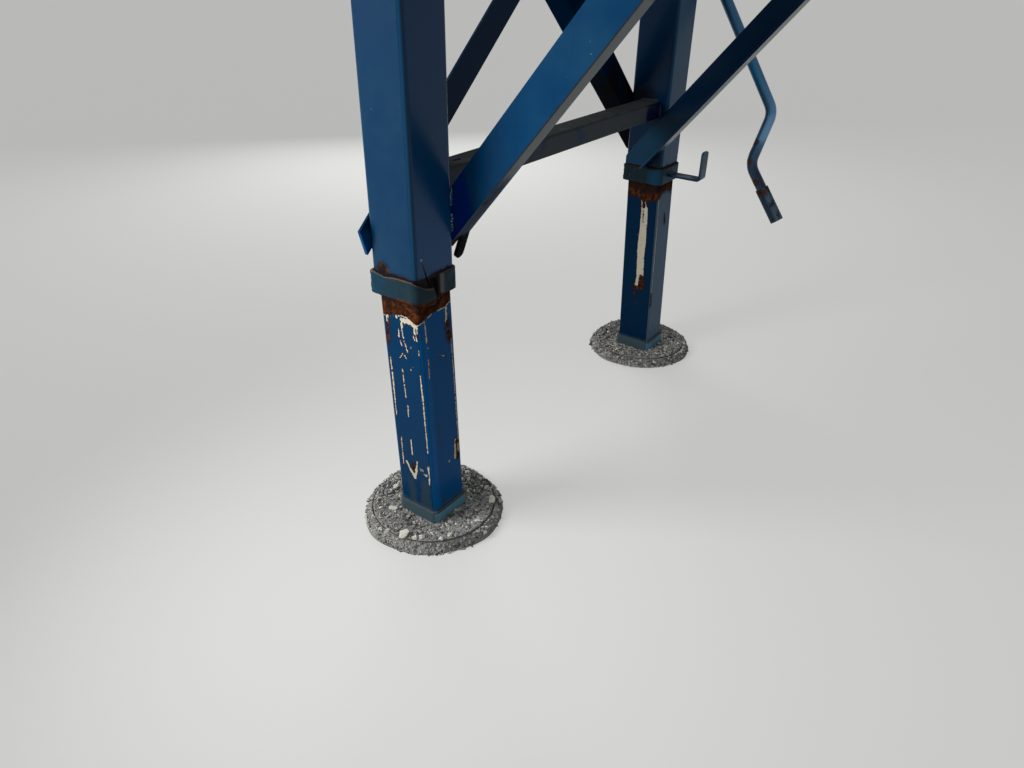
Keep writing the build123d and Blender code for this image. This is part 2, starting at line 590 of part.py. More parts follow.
def crank_hook():
    """Flat bar welded on the left collar's front, bent up to hold the stowed crank."""
    face_x = HALF + COLLAR_WALL
    outline = Polyline(
        (0, 0),
        (HOOK_REACH, 0),
        (HOOK_REACH, HOOK_RISE),
        (HOOK_REACH - HOOK_THICK, HOOK_RISE),
        (HOOK_REACH - HOOK_THICK, HOOK_THICK),
        (0, HOOK_THICK),
        close=True,
    )
    face = make_face(outline)
    outer = face.vertices().sort_by_distance((HOOK_REACH, 0, 0))[0]
    face = fillet([outer], HOOK_BEND)
    inner = face.vertices().sort_by_distance((HOOK_REACH - HOOK_THICK, HOOK_THICK, 0))[0]
    face = fillet([inner], HOOK_BEND - HOOK_THICK)
    plane = Plane((face_x, TRACK / 2 + HOOK_WIDTH / 2, HOOK_Z), x_dir=(1, 0, 0), z_dir=(0, -1, 0))
    hook = extrude(plane * face, HOOK_WIDTH)
    across = hook.edges().filter_by(Axis.X)
    return fillet([edge for edge in across if edge.center().Z > HOOK_Z + HOOK_RISE / 2], HOOK_ROUND)


os.makedirs("parts", exist_ok=True)

PAIRED = (
    ("inner_tube", inner_tube),
    ("foot_shoe", foot_shoe),
    ("packed_gravel", packed_gravel),
    ("top_cap", top_cap),
    ("mount_plate", mount_plate),
    ("shaft_boss", shaft_boss),
    ("stub_shaft", stub_shaft),
)
for node, make in PAIRED:
    piece = make()
    for name, side in SIDES:
        save(f"{node}_{name}", mirrored(piece, side))

# These differ from side to side, by the damage and by the way their ends are cut
missing, crack = tear()
tube, band = outer_tube(), collar()
save("outer_tube_left", tube)
save("outer_tube_right", mirrored(tube - missing - crack, -1))
save("collar_left", band)
save("collar_right", mirrored(band - missing, -1))
save("drag_brace_left", drag_brace())
save("drag_brace_right", mirrored(torn_drag_brace(), -1))
for name, side in SIDES:
    save(f"sway_brace_{name}", mirrored(sway_brace(name), side))

save("cross_member", cross_member())
save("apex_gusset", apex_gusset())
save("cross_tube", cross_tube())
save("coupling_bolts", coupling_bolts())
save("gear_cover", gear_cover())
save("bearing_cap", mirrored(bearing_cap(), -1))
save("input_shaft", input_shaft())
save("crank_yoke", crank_yoke())
save("clevis_pin", clevis_pin())
save("crank_arm", crank_arm())
save("crank_grip", crank_grip())
save("crank_hook", crank_hook())
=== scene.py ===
import math
import random

import bmesh
import bpy
import numpy as np
from mathutils import Matrix, Vector, noise


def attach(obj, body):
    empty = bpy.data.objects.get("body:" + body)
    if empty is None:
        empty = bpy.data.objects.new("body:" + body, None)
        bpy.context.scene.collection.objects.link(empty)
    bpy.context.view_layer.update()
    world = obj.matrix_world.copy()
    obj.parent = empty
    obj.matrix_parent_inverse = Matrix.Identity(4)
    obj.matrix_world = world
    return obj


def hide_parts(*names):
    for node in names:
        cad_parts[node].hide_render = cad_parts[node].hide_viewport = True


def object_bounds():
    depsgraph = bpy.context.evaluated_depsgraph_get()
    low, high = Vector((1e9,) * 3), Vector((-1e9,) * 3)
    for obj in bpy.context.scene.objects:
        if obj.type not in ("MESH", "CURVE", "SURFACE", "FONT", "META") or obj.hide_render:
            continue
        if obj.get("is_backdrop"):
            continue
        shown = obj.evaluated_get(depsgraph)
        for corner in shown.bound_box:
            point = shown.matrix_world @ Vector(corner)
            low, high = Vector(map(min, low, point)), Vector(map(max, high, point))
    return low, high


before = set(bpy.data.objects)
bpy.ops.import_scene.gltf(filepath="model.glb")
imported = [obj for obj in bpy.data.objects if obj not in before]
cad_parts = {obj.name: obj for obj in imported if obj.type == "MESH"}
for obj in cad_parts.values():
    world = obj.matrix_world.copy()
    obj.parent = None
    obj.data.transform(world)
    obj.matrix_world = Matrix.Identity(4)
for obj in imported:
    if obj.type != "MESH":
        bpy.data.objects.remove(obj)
cad_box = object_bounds()

# View: standing in front of the right leg and looking back across both legs, tipped down towards
# the feet. The trailer's front is +X and its left +Y, and lengths are in metres unless said.
CAMERA_AT = Vector((1.0704, -1.7152, 1.2898))
CAMERA_HEADING = math.radians(125.238)
CAMERA_DOWN = math.radians(30.663)
CAMERA_ROLL = math.radians(0.867)
SENSOR = 36.0
FOCAL_PIXELS = 742.9
PHOTO_WIDTH = 1024


def placed(name, data):
    """A new object in the scene."""
    made = bpy.data.objects.new(name, data)
    bpy.context.scene.collection.objects.link(made)
    return made


camera_data = bpy.data.cameras.new("camera")
camera_data.sensor_width = SENSOR
camera_data.lens = FOCAL_PIXELS / PHOTO_WIDTH * SENSOR
camera = placed("camera", camera_data)
heading = Matrix.Rotation(CAMERA_HEADING - math.pi / 2, 4, "Z")
tip = Matrix.Rotation(math.pi / 2 - CAMERA_DOWN, 4, "X")
camera.matrix_world = Matrix.Translation(CAMERA_AT) @ heading @ tip @ Matrix.Rotation(CAMERA_ROLL, 4, "Z")
bpy.context.scene.camera = camera
bpy.context.scene.view_settings.view_transform = "Standard"

# Upper legs: square tubes of 4 mm sheet, rolled at the corners and seam welded, then painted with
# the rest in one coat of blue enamel. It has gone chalky where it faces out, and rust has lifted it
# above the collars, in a blister on the right leg most of all.
LEG_AT = 0.5842                # leg's centre, out from the middle
TUBE_HALF = 0.064
TUBE_FOOT = 0.620
TUBE_TOP = 1.400
BAND_HEIGHT = 0.051            # the collar round the tube's foot
BAND_TOP = TUBE_FOOT + BAND_HEIGHT
MM = 1000.0                    # turns metres into millimetres
UP = (0.0, 0.0, 1.0)
AHEAD = (1.0, 0.0, 0.0)
RIGHTWARD = (0.0, -1.0, 0.0)
BLUE_DEEP = (0.0006, 0.033, 0.096)
BLUE_CHALKY = (0.009, 0.054, 0.114)
BLUE_CORNER_HIGHLIGHT = (0.003, 0.074, 0.170)
BLUE_FRONT_LIT = (0.006, 0.085, 0.190)
# a brighter blue, laid only as painted light
BLUE_PAINTED_LIGHT = (0.0010, 0.080, 0.250)
BLUE_PAINTED_SHADE = (0.0001, 0.033, 0.094)
ROAD_DUST = (0.085, 0.078, 0.070)
# black for soot and dirt, and also laid as painted shade
SOOT_AND_SHADE = (0.010, 0.010, 0.012)
FLAKE_PALE = (0.42, 0.40, 0.34)
RUST_DARK = (0.026, 0.010, 0.006)
RUST_BRIGHT = (0.125, 0.036, 0.010)
RUST_ROUGH = 0.88
RELIEF_UNIT = 0.001            # relief is in millimetres
TOP_SHADE_HEIGHTS = (0.96, 1.18)   # heights over which the right leg's top is painted darker, as painted shade
FRONT_LIT_BELOW = (0.95, 0.72)   # heights over which the front face is painted brighter, as painted light
CORNER_HIGHLIGHT_FACING = (0.6, -0.8, 0.0)
CORNER_SHADE_FACING = (0.88, -0.47, 0.0)
# Marks, each a place and how far it reaches: rust that has burst through, the end of the crack
# over the torn collar, and the sheet beside it, peeled to bare primer
BLISTER = ((-0.030, -LEG_AT - TUBE_HALF, BAND_TOP + 0.011), 0.016)
CRACK_TIP = ((TUBE_HALF, -LEG_AT - 0.0428, 0.716), 0.0032)
CRACK_FLAP = ((TUBE_HALF, -LEG_AT - 0.0308, 0.690), 0.010)
JOINT_AT = (-0.018, LEG_AT - TUBE_HALF, 0.872)      # the corner over the cross member, blackened as painted shade
JOINT_SHADE_REACH = (0.060, 0.020)


class Value:
    """One socket of a material. Arithmetic on it adds Math nodes to the same material."""

    def __init__(self, socket):
        self.socket = socket

    def node(self, kind, settings, sockets, output=0):
        """Any node, by its type, its settings and the values or links of its sockets."""
        tree = self.socket.id_data
        made = tree.nodes.new("ShaderNode" + kind)
        for name, setting in settings.items():
            setattr(made, name, setting)
        for key, given in sockets.items():
            feed(made.inputs[key], given)
        return Value(made.outputs[output])

    def math(self, operation, first, second=0.0):
        """A Math node in this value's material, on numbers or values."""
        return self.node("Math", {"operation": operation}, {0: first, 1: second})

    def __add__(self, other):
        return self.math("ADD", self, other)

    def __sub__(self, other):
        return self.math("SUBTRACT", self, other)

    def __mul__(self, other):
        return self.math("MULTIPLY", self, other)

    def __rsub__(self, other):
        return self.math("SUBTRACT", other, self)

    __radd__ = __add__
    __rmul__ = __mul__

    def size(self):
        return self.math("ABSOLUTE", self)

    def rise(self, low, high):
        """Mask from 0 at low to 1 at high, and the other way round where low is the larger."""
        kind = {"interpolation_type": "SMOOTHSTEP"}
        return self.node("MapRange", kind, {0: self, 1: low, 2: high, 3: 0.0, 4: 1.0})

    def cloud(self, grain, seed=0.0, detail=4.0):
        """Soft noise about 0.5 over this place, with lumps about `grain` metres across."""
        sockets = {"Vector": self, "W": seed, "Scale": 1.0 / grain, "Detail": detail, "Roughness": 0.6}
        return self.node("TexNoise", {"noise_dimensions": "4D"}, sockets)

    def over(self, under, colour):
        """A colour laid on another where this mask is 1."""
        return self.node("Mix", {"data_type": "RGBA"}, {0: self, 6: under, 7: colour}, 2)


def feed(socket, given):
    """Put a value on a socket, or link it where it varies."""
    if isinstance(given, Value):
        socket.id_data.links.new(given.socket, socket)
    elif socket.type == "RGBA":
        socket.default_value = (*given[:3], 1.0)
    else:
        socket.default_value = given


class Skin:
    """Layers of one material: colour, roughness and relief, each laid over the last."""

    def __init__(self, name, colour, roughness, gloss=0.25):
        self.material = bpy.data.materials.new(name)
        self.material.use_nodes = True
        nodes = self.material.node_tree.nodes
        self.shader = nodes["Principled BSDF"]
        self.shader.inputs["Specular IOR Level"].default_value = gloss
        self.place = Value(nodes.new("ShaderNodeTexCoord").outputs["Object"])
        parts = [self.place.node("SeparateXYZ", {}, {0: self.place}, axis) for axis in range(3)]
        self.ahead, self.side, self.height = parts
        self.blotch = self.cloud(0.05)
        self.colour = colour
        self.rough = roughness
        self.relief = 0.0

    def lay(self, mask, colour, roughness, relief=0.0):
        """One more layer where the mask is 1, with its relief in mm."""
        self.colour = mask.over(self.colour, colour)
        self.rough = self.rough + mask * (roughness - self.rough)
        if relief:
            self.relief = self.relief + mask * relief

    def cloud(self, grain, seed=0.0, detail=4.0):
        """The same noise, over the places of the object."""
        return self.place.cloud(grain, seed, detail)

    def streaks(self, drawn, grain, seed=0.0, detail=4.0):
        """A cloud that is drawn out up and down, the more the smaller the number."""
        sockets = {0: self.place, 1: (1.0, 1.0, drawn)}
        return self.place.node("VectorMath", {"operation": "MULTIPLY"}, sockets).cloud(grain, seed, detail)

    def away(self, centre):
        """Distance from a point of the object."""
        sockets = {0: self.place, 1: centre}
        return self.place.node("VectorMath", {"operation": "DISTANCE"}, sockets, "Value")

    def facing(self, direction, low, high):
        """Mask of the faces that look in a direction."""
        normal = self.place.node("NewGeometry", {}, {}, "Normal")
        lit = normal.node("VectorMath", {"operation": "DOT_PRODUCT"}, {0: normal, 1: direction}, "Value")
        return lit.rise(low, high)

    def marked(self, name):
        """A number that the mesh carries at its points."""
        return self.place.node("Attribute", {"attribute_name": name}, {}, "Fac")

    def spot(self, centre, reach, ragged=0.5):
        """Ragged round patch about a point of the object."""
        edge = (self.cloud(reach * 0.6, 11.0) - 0.5) * (2.0 * ragged * reach)
        return (self.away(centre) + edge).rise(reach, reach * 0.7)

    def rust(self, mask, relief=-0.3):
        """Rust: dark scale with brighter bloom, pitted and dull."""
        bloom = self.cloud(0.011, 7.0).rise(0.42, 0.66)
        self.lay(mask, bloom.over(RUST_DARK, RUST_BRIGHT), RUST_ROUGH, relief)
        self.relief = self.relief + mask * (self.cloud(0.003, 3.0) - 0.5) * 1.2

    def finished(self, metal=0.0):
        """Join the layers to the shader: what varies by a link, what is even on the socket."""
        feed(self.shader.inputs["Base Color"], self.colour)
        feed(self.shader.inputs["Roughness"], self.rough)
        feed(self.shader.inputs["Metallic"], metal)
        if isinstance(self.relief, Value):
            bump = {"Height": self.relief, "Distance": RELIEF_UNIT, "Strength": 1.0}
            feed(self.shader.inputs["Normal"], self.relief.node("Bump", {}, bump))
        return self.material


def dimmed(colour, shade):
    """A colour made darker."""
    return tuple(part * shade for part in colour)


def wear(name, material):
    """Give a CAD piece its finish."""
    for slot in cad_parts[name].material_slots:
        slot.material = material


def blue_paint(name, chalk=0.5, dusty=0.1, chipped=0.0, front_lit=0.0,
               rough=0.2, shade=1.0, gloss=0.25, seed=0.0):
    """Blue enamel: chalky clouds, dirt runs, dust on what faces up, and chips down to rust."""
    # shade dims the whole coat as painted shade for a piece in shadow, and above 1 brightens it as painted
    # light.
    skin = Skin(name, dimmed(BLUE_DEEP, shade), rough, gloss)
    clouds = skin.cloud(0.16, seed, 3.0) + (chalk - 0.5)
    skin.lay(clouds.rise(0.25, 0.80), dimmed(BLUE_CHALKY, shade), rough + 0.08)
    # Painted light: the front faces are painted a lighter blue, as much as front_lit says.
    if front_lit:
        skin.lay(skin.facing(AHEAD, 0.55, 0.85) * front_lit, BLUE_FRONT_LIT, rough + 0.15)
    runs = skin.streaks(0.08, 0.012, seed + 1.0, 3.0)
    skin.lay(runs.rise(0.50, 0.85) * 0.16, SOOT_AND_SHADE, 0.5)
    grime = skin.cloud(0.045, seed + 2.0, 5.0)
    skin.lay((grime + dusty * 0.4).rise(0.62, 0.92) * (0.12 + 0.5 * dusty), ROAD_DUST, 0.7)
    settled = skin.facing(UP, 0.35, 0.8) * (grime + dusty).rise(0.45, 0.75)
    skin.lay(settled * 0.85, ROAD_DUST, 0.9, 0.15)
    chips = skin.cloud(0.009, seed + 3.0) + (skin.blotch - 0.5) * 0.5 + chipped * 0.08
    skin.lay(chips.rise(0.755, 0.770), FLAKE_PALE, 0.6, -0.1)
    skin.rust(chips.rise(0.775, 0.790))
    orange_peel = (skin.cloud(0.004, detail=3.0) - 0.5) * 0.05
    skin.relief = skin.relief + orange_peel + (skin.blotch - 0.5) * 0.25
    return skin


UPPER_LEGS = (
    # side, chalk, shade as painted shade, gloss, front_lit as painted light on the front, seed
    ("right", 0.45, 0.95, 0.22, 0.0, -10.0),
    ("left", 0.25, 0.55, 0.14, 0.9, 10.0),
)
for side, chalk, shade, gloss, front_lit, seed in UPPER_LEGS:
    skin = blue_paint("leg_blue_" + side, chalk=chalk, shade=shade, gloss=gloss, front_lit=front_lit, seed=seed)
    if side == "right":
        # Painted shade: the right leg's top is painted darker.
        skin.lay(skin.height.rise(*TOP_SHADE_HEIGHTS) * 0.85, BLUE_PAINTED_SHADE, 0.25)
        # Painted light: the front face is painted brighter, the more so lower down.
        painted_light_mask = skin.facing(AHEAD, 0.5, 0.9) * (0.25 + 0.45 * skin.height.rise(*FRONT_LIT_BELOW))
        skin.lay(painted_light_mask, BLUE_PAINTED_LIGHT, 0.3)
        # Painted highlight along the rolled corner.
        skin.lay(skin.facing(CORNER_HIGHLIGHT_FACING, 0.93, 0.985), BLUE_CORNER_HIGHLIGHT, 0.22)
        # Painted shade: a dark strip on the corner's front side.
        skin.lay(skin.facing(CORNER_SHADE_FACING, 0.94, 0.99) * 0.8, BLUE_PAINTED_SHADE, 0.22)
    else:
        # Painted shade: black in the corner over the cross member.
        joint = skin.away(JOINT_AT) + (skin.cloud(0.02, 11.0) - 0.5) * 0.03
        skin.lay(joint.rise(*JOINT_SHADE_REACH) * 0.92, SOOT_AND_SHADE, 0.9)
    # Rust and soot creep up from the collar to a ragged line, all in mm over its upper edge
    lip = (skin.height - BAND_TOP) * MM
    ragged = skin.cloud(0.014, 5.0) * 26.0 - 9.0
    skin.rust((lip - ragged).rise(1.5, -1.5))
    skin.lay((lip - ragged * 1.5).rise(6.0, -2.0) * 0.5, SOOT_AND_SHADE, 0.7)
    skin.lay((lip - 1.0 - ragged * 0.4).rise(3.0, 0.0) * 0.85, SOOT_AND_SHADE, 0.9, -0.4)
    if side == "right":
        blister = skin.spot(*BLISTER, 0.9)
        skin.lay(skin.spot(BLISTER[0], BLISTER[1] * 1.3, 0.9) * 0.6, SOOT_AND_SHADE, 0.8)
        skin.rust(blister, 0.8)
        scale = skin.streaks(0.5, 0.008, 3.0, 2.0).rise(0.44, 0.54)
        skin.lay(blister * scale * 0.9, SOOT_AND_SHADE, 0.9, -0.5)
        skin.lay(skin.spot(*CRACK_FLAP) * 0.5, ROAD_DUST, 0.8)
        skin.lay(skin.spot(*CRACK_TIP), FLAKE_PALE, 0.7)
    wear("outer_tube_" + side, skin.finished())

# Inner legs: thicker square tubes that slide in the upper ones, worn, scratched down to the cream
# primer and rusted where they rub. Both lean a little, each in its own worn guide.
INNER_HALF = 0.05715
INNER_CORNER = 0.009
INNER_LEAN = math.radians(2.1)
LEAN_HEIGHT = 0.690
INNER_FOOT = 0.008
INNER_TOP = 0.758
BLUE_REFLECTED_HAZE = (0.108, 0.172, 0.250)
BLUE_HIGHLIGHT = (0.0005, 0.110, 0.340)
CREAM = (0.66, 0.60, 0.47)
CREAM_STAINED = (0.20, 0.14, 0.08)
OLIVE_GRIME = (0.038, 0.054, 0.046)
DRIED_MUD = (0.070, 0.098, 0.110)
TUBE_PAINTED_SHADE = (0.011, 0.007, 0.005)
RUST_BROWN = (0.030, 0.016, 0.012)
RUST_UMBER = (0.022, 0.014, 0.012)
RUST_SOOTY = (0.016, 0.010, 0.009)
HIGHLIGHT_STRIP = (-LEG_AT - 0.028, -LEG_AT - 0.040)     # on the right leg's front, by its corner, where a painted highlight runs
DRIPS_ABOVE = (0.546, 0.560)   # heights over which the bare primer runs down in drips
SHADED_IN_COLLAR = (0.614, 0.628)
MUD_BELOW = (62.0, 44.0)       # mm
UNMARKED = 99.0                # mm, for a place with no mark near it
COLUMN = 0.0021                # spacing of the mesh's points, round the tube and along it
ROW = 0.0026

# Marks are in mm on the unrolled tube: across from the corner that faces front and outboard on the
# right leg (front and inboard on the left), and up. Each is x0, z0, x1, z1, half width, wobble. The
# rust lines are points across and up, under the rust at each leg's top.
SCRATCHES_RIGHT = (
    (-95, 570, -96, 554, 3.0, 3.0),
    (-67, 574, -66, 570, 3.0, 3.0),
    (-52, 569, -41, 569, 4.5, 5.0),
    (-41, 567, -22, 569, 7.0, 7.0),
    (-22, 567, -9, 562, 6.5, 5.0),
    (-11, 560, -13, 546, 4.0, 3.5),
    (-51, 567, -52, 550, 2.5, 2.5),
    (-6, 567, -8, 548, 2.0, 2.0),
    (-63, 541, -64, 523, 1.6, 1.0),
    (-53, 544, -51, 524, 1.7, 1.2),
    (-61, 513, -58, 502, 1.2, 1.0),
    (-50, 517, -41, 489, 1.3, 0.8),
    (-58, 481, -67, 469, 1.0, 0.8),
    (-52, 478, -46, 471, 1.4, 0.8),
    (-19, 537, -16, 527, 1.5, 1.4),
    (-11, 541, -10, 527, 1.4, 1.2),
    (-30, 506, -30, 504, 1.6, 1.0),
    (-7, 504, -7, 492, 1.2, 1.0),
    (-36, 447, -36, 445, 1.4, 1.0),
    (-99, 460, -98, 421, 1.3, 1.6),
    (-98, 421, -99, 348, 1.8, 1.4),
    (-99, 348, -99, 301, 1.1, 1.6),
    (-64, 439, -61, 364, 1.2, 1.4),
    (-9, 440, -7, 377, 1.7, 1.6),
    (-7, 377, -7, 304, 1.6, 1.2),
    (-7, 304, -6, 226, 1.2, 1.6),
    (-7, 189, -9, 130, 0.9, 1.6),
    (-91, 240, -93, 160, 1.3, 2.0),
    (-58, 343, -59, 313, 1.2, 1.6),
    (-59, 244, -59, 203, 1.6, 1.6),
    (-81, 172, -70, 151, 2.4, 3.0),
    (-70, 151, -57, 132, 4.0, 3.0),
    (-57, 132, -50, 160, 3.4, 3.0),
    (-50, 160, -45, 185, 2.2, 2.4),
    (-31, 168, -27, 164, 1.2, 3.0),
    (-38, 170, -34, 160, 1.1, 3.0),
    (-24, 158, -18, 153, 1.4, 4.0),
    (-10, 184, -8, 168, 1.6, 3.0),
    (-8, 168, -10, 134, 1.5, 3.0),
    (-16, 159, -15, 157, 2.0, 3.0),
    (15, 575, 17, 521, 2.0, 1.8),
    (19, 506, 19, 504, 1.6, 0.8),
    (18, 476, 17, 429, 1.3, 1.0),
    (88, 577, 87, 547, 3.4, 3.0),
    (91, 537, 94, 503, 2.8, 3.0),
    (100, 498, 101, 430, 1.2, 1.8),
    (101, 430, 102, 356, 1.4, 1.4),
    (102, 356, 103, 214, 1.3, 1.6),
    (92, 219, 87, 169, 3.8, 3.4),
    (101, 205, 99, 180, 2.4, 2.0),
    (55, 474, 77, 461, 0.9, 2.6),
    (64, 171, 64, 168, 1.8, 1.4),
)
BROWNED_RIGHT = (
    (-60, 172, -56, 150, 5.0, 4.0),
    (90, 545, 94, 498, 7.0, 5.0),
    (95, 215, 96, 165, 6.0, 5.0),
    (-94, 560, -100, 500, 4.0, 5.0),
    (-10, 556, -9, 540, 5.0, 4.0),
)
GRIMED_RIGHT = (
    (-24, 126, -26, 83, 11.0, 6.0),
    (-26, 83, -24, 44, 15.0, 6.0),
    (34, 78, 38, 64, 3.0, 4.0),
    (-72, 112, -68, 56, 9.0, 6.0),
    (34, 300, 36, 236, 2.0, 6.0),
)
RUST_LINE_RIGHT = (
    (-114, 566), (-100, 568), (-70, 574), (-48, 580), (-31, 578),
    (-9, 566), (5, 572), (38, 582), (87, 584), (107, 592),
)

SCRATCHES_LEFT = (
    (-49, 558, -45, 536, 8.0, 4.0),
    (-43, 530, -42, 500, 12.0, 3.0),
    (-42, 500, -43, 440, 12.5, 2.5),
    (-43, 440, -45, 380, 14.0, 2.5),
    (-45, 380, -43, 300, 13.0, 2.5),
    (-47, 300, -53, 262, 6.0, 4.0),
    (8, 566, 11, 470, 1.8, 1.8),
    (11, 470, 10, 398, 2.4, 1.6),
    (10, 398, 9, 320, 2.6, 1.4),
    (9, 320, 8, 240, 1.8, 1.6),
)
BROWNED_LEFT = (
    (-49, 562, -46, 540, 9.0, 5.0),
    (-47, 526, -45, 486, 4.5, 3.0),
    (-38, 292, -40, 262, 11.0, 6.0),
    (-60, 246, -30, 256, 7.0, 7.0),
    (-62, 226, -56, 222, 4.0, 5.0),
    (-33, 478, -32, 470, 3.5, 3.0),
    (8, 232, 9, 190, 3.4, 2.6),
    (62, 506, 66, 476, 4.5, 5.0),
)
RUST_LINE_LEFT = (
    (-114, 574), (-104, 569), (-69, 570), (-57, 562), (-33, 557),
    (-17, 563), (10, 571), (27, 586), (60, 588), (95, 579), (107, 584),
)


def way_round(half, corner):
    """Length of a rounded square's outline."""
    return 4 * (2 * (half - corner) + corner * math.pi / 2)


def round_square(half, corner, run):
    """Point on a rounded square, a run along it from the middle of its +X -Y corner."""
    flat = 2 * (half - corner)
    arc = corner * math.pi / 2
    sides, along = divmod(run, flat + arc)
    if along < arc / 2:
        angle = along / corner - math.pi / 4
        point = (half - corner + corner * math.cos(angle), corner - half + corner * math.sin(angle))
    elif along < arc / 2 + flat:
        point = (half, along - arc / 2 - flat / 2)
    else:
        angle = (along - arc / 2 - flat) / corner
        point = (half - corner + corner * math.cos(angle), half - corner + corner * math.sin(angle))
    turn = Matrix.Rotation(sides * math.pi / 2, 2)
    return turn @ Vector(point)


def mesh_piece(name, points, faces, material, smooth=True, fields=None):
    """A piece of the frame from its points and faces, with numbers that its points carry."""
    mesh = bpy.data.meshes.new(name)
    mesh.from_pydata(points, [], faces)
    for field, values in (fields or {}).items():
        mesh.attributes.new(field, "FLOAT", "POINT").data.foreach_set("value", values)
    mesh.materials.append(material)
    mesh.polygons.foreach_set("use_smooth", [smooth] * len(mesh.polygons))
    piece = placed(name, mesh)
    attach(piece, "frame")
    return piece


def ring_faces(rings, count, closed=False, first=0):
    """Quads between rings of points, with a cap on each end unless the row of rings is closed."""
    faces = []
    for row in range(rings if closed else rings - 1):
        lower = first + row * count
        upper = first + (row + 1) % rings * count
        for step in range(count):
            after = (step + 1) % count
            faces.append((lower + step, lower + after, upper + after, upper + step))
    if not closed:
        faces.append(tuple(reversed(range(first, first + count))))
        faces.append(tuple(range(first + (rings - 1) * count, first + rings * count)))
    return faces


def stroke_distance(across, up, marks):
    """Distance in mm from the nearest of a table of strokes, less its half width."""
    nearest = np.full(across.shape, UNMARKED)
    for x0, z0, x1, z1, half, wobble in marks:
        dx, dz = x1 - x0, z1 - z0
        share = ((across - x0) * dx + (up - z0) * dz) / (dx * dx + dz * dz)
        share = np.clip(share, 0.0, 1.0)
        gap = np.hypot(across - x0 - share * dx, up - z0 - share * dz)
        ripple = np.sin(up * 0.45 + x0) * 0.5 + np.sin(up * 0.17 + 2.0 * z0) * 0.5
        nearest = np.minimum(nearest, gap - half - ripple * wobble * 0.25)
    return nearest


def inner_leg_finish(side, sign):
    """Blue enamel, worn to primer and rust where the mesh's numbers say: all in mm from each mark."""
    name = "inner_blue_" + side
    # Each coat is dimmed by shade, as painted shade.
    if sign < 0:
        skin = blue_paint(name, chalk=0.30, chipped=0.30, rough=0.25, shade=0.72, gloss=0.06, seed=-3.0)
        # Painted light: the front face, and a little of the outboard face, painted brighter.
        skin.lay(skin.facing(AHEAD, 0.5, 0.9), BLUE_PAINTED_LIGHT, 0.3)
        skin.lay(skin.facing(RIGHTWARD, 0.5, 0.9) * 0.18, BLUE_PAINTED_LIGHT, 0.3)
        # Painted highlight: a bright strip on the front beside the corner.
        highlight_strip = skin.side.rise(*HIGHLIGHT_STRIP) * skin.facing(AHEAD, 0.3, 0.7)
        skin.lay(highlight_strip, BLUE_HIGHLIGHT, 0.25)
    else:
        skin = blue_paint(name, chalk=0.0, chipped=0.1, rough=0.4, shade=0.60, gloss=0.05, seed=3.0)
        # Painted reflection: the front face is painted a lighter grey-blue, for the bright ground it
        # reflects.
        skin.lay(skin.facing(AHEAD, 0.5, 0.9), BLUE_REFLECTED_HAZE, 0.5)
    crumb = (skin.cloud(0.0035, 2.0) - 0.5) * 7.0
    lump = (skin.cloud(0.011, 4.0) - 0.5) * 16.0
    skin.lay((skin.marked("grimed") + lump).rise(10.0, -7.0) * 0.60, OLIVE_GRIME, 0.6)
    brown = skin.marked("browned")
    skin.lay((brown + lump).rise(9.0, 0.0) * 0.55, RUST_DARK, 0.75)
    skin.rust((brown + lump * 0.6 + crumb).rise(1.5, -2.5) * 0.9)
    worn = skin.marked("worn")
    drips = (skin.streaks(0.22, 0.0045, 21.0, 3.0) - 0.5) * 13.0
    worn = worn + crumb + drips * skin.height.rise(*DRIPS_ABOVE)
    bare = worn.rise(0.4, -0.4)
    skin.rust(worn.rise(1.9, 1.1) * 0.7)
    skin.lay(bare, CREAM, 0.65, -0.12)
    skin.lay(bare * skin.cloud(0.007, 6.0).rise(0.55, 0.72) * 0.5, CREAM_STAINED, 0.8)
    skin.rust((brown + lump * 0.5 + crumb).rise(-1.5, -4.0))
    line = skin.marked("over_rust_line")
    edge = skin.cloud(0.006, 8.0) * 9.0 - 4.5
    if sign < 0:
        broken = skin.cloud(0.02, 9.0, 3.0).rise(0.46, 0.52)
        skin.lay((line + edge).rise(-3.2, -2.2) * broken, CREAM, 0.6)
        skin.rust((line + edge).rise(-1.0, 0.4), 0.2)
        skin.lay((line - 24.0 + lump).rise(0.0, 14.0) * 0.6, RUST_BROWN, 0.85)
    else:
        skin.lay((line + edge * 2.0).rise(-14.0, 4.0) * 0.7, RUST_UMBER, 0.8)
        skin.rust((line + edge * 2.0).rise(-2.0, 6.0), 0.2)
        skin.lay((line - 18.0 + lump).rise(0.0, 12.0) * 0.85, RUST_SOOTY, 0.9)
    # Painted shade: black where the tube runs up into the band.
    skin.lay(skin.height.rise(*SHADED_IN_COLLAR), TUBE_PAINTED_SHADE, 0.8)
    skin.lay((skin.height * MM + lump).rise(*MUD_BELOW) * 0.75, DRIED_MUD, 0.8)
    return skin.finished()


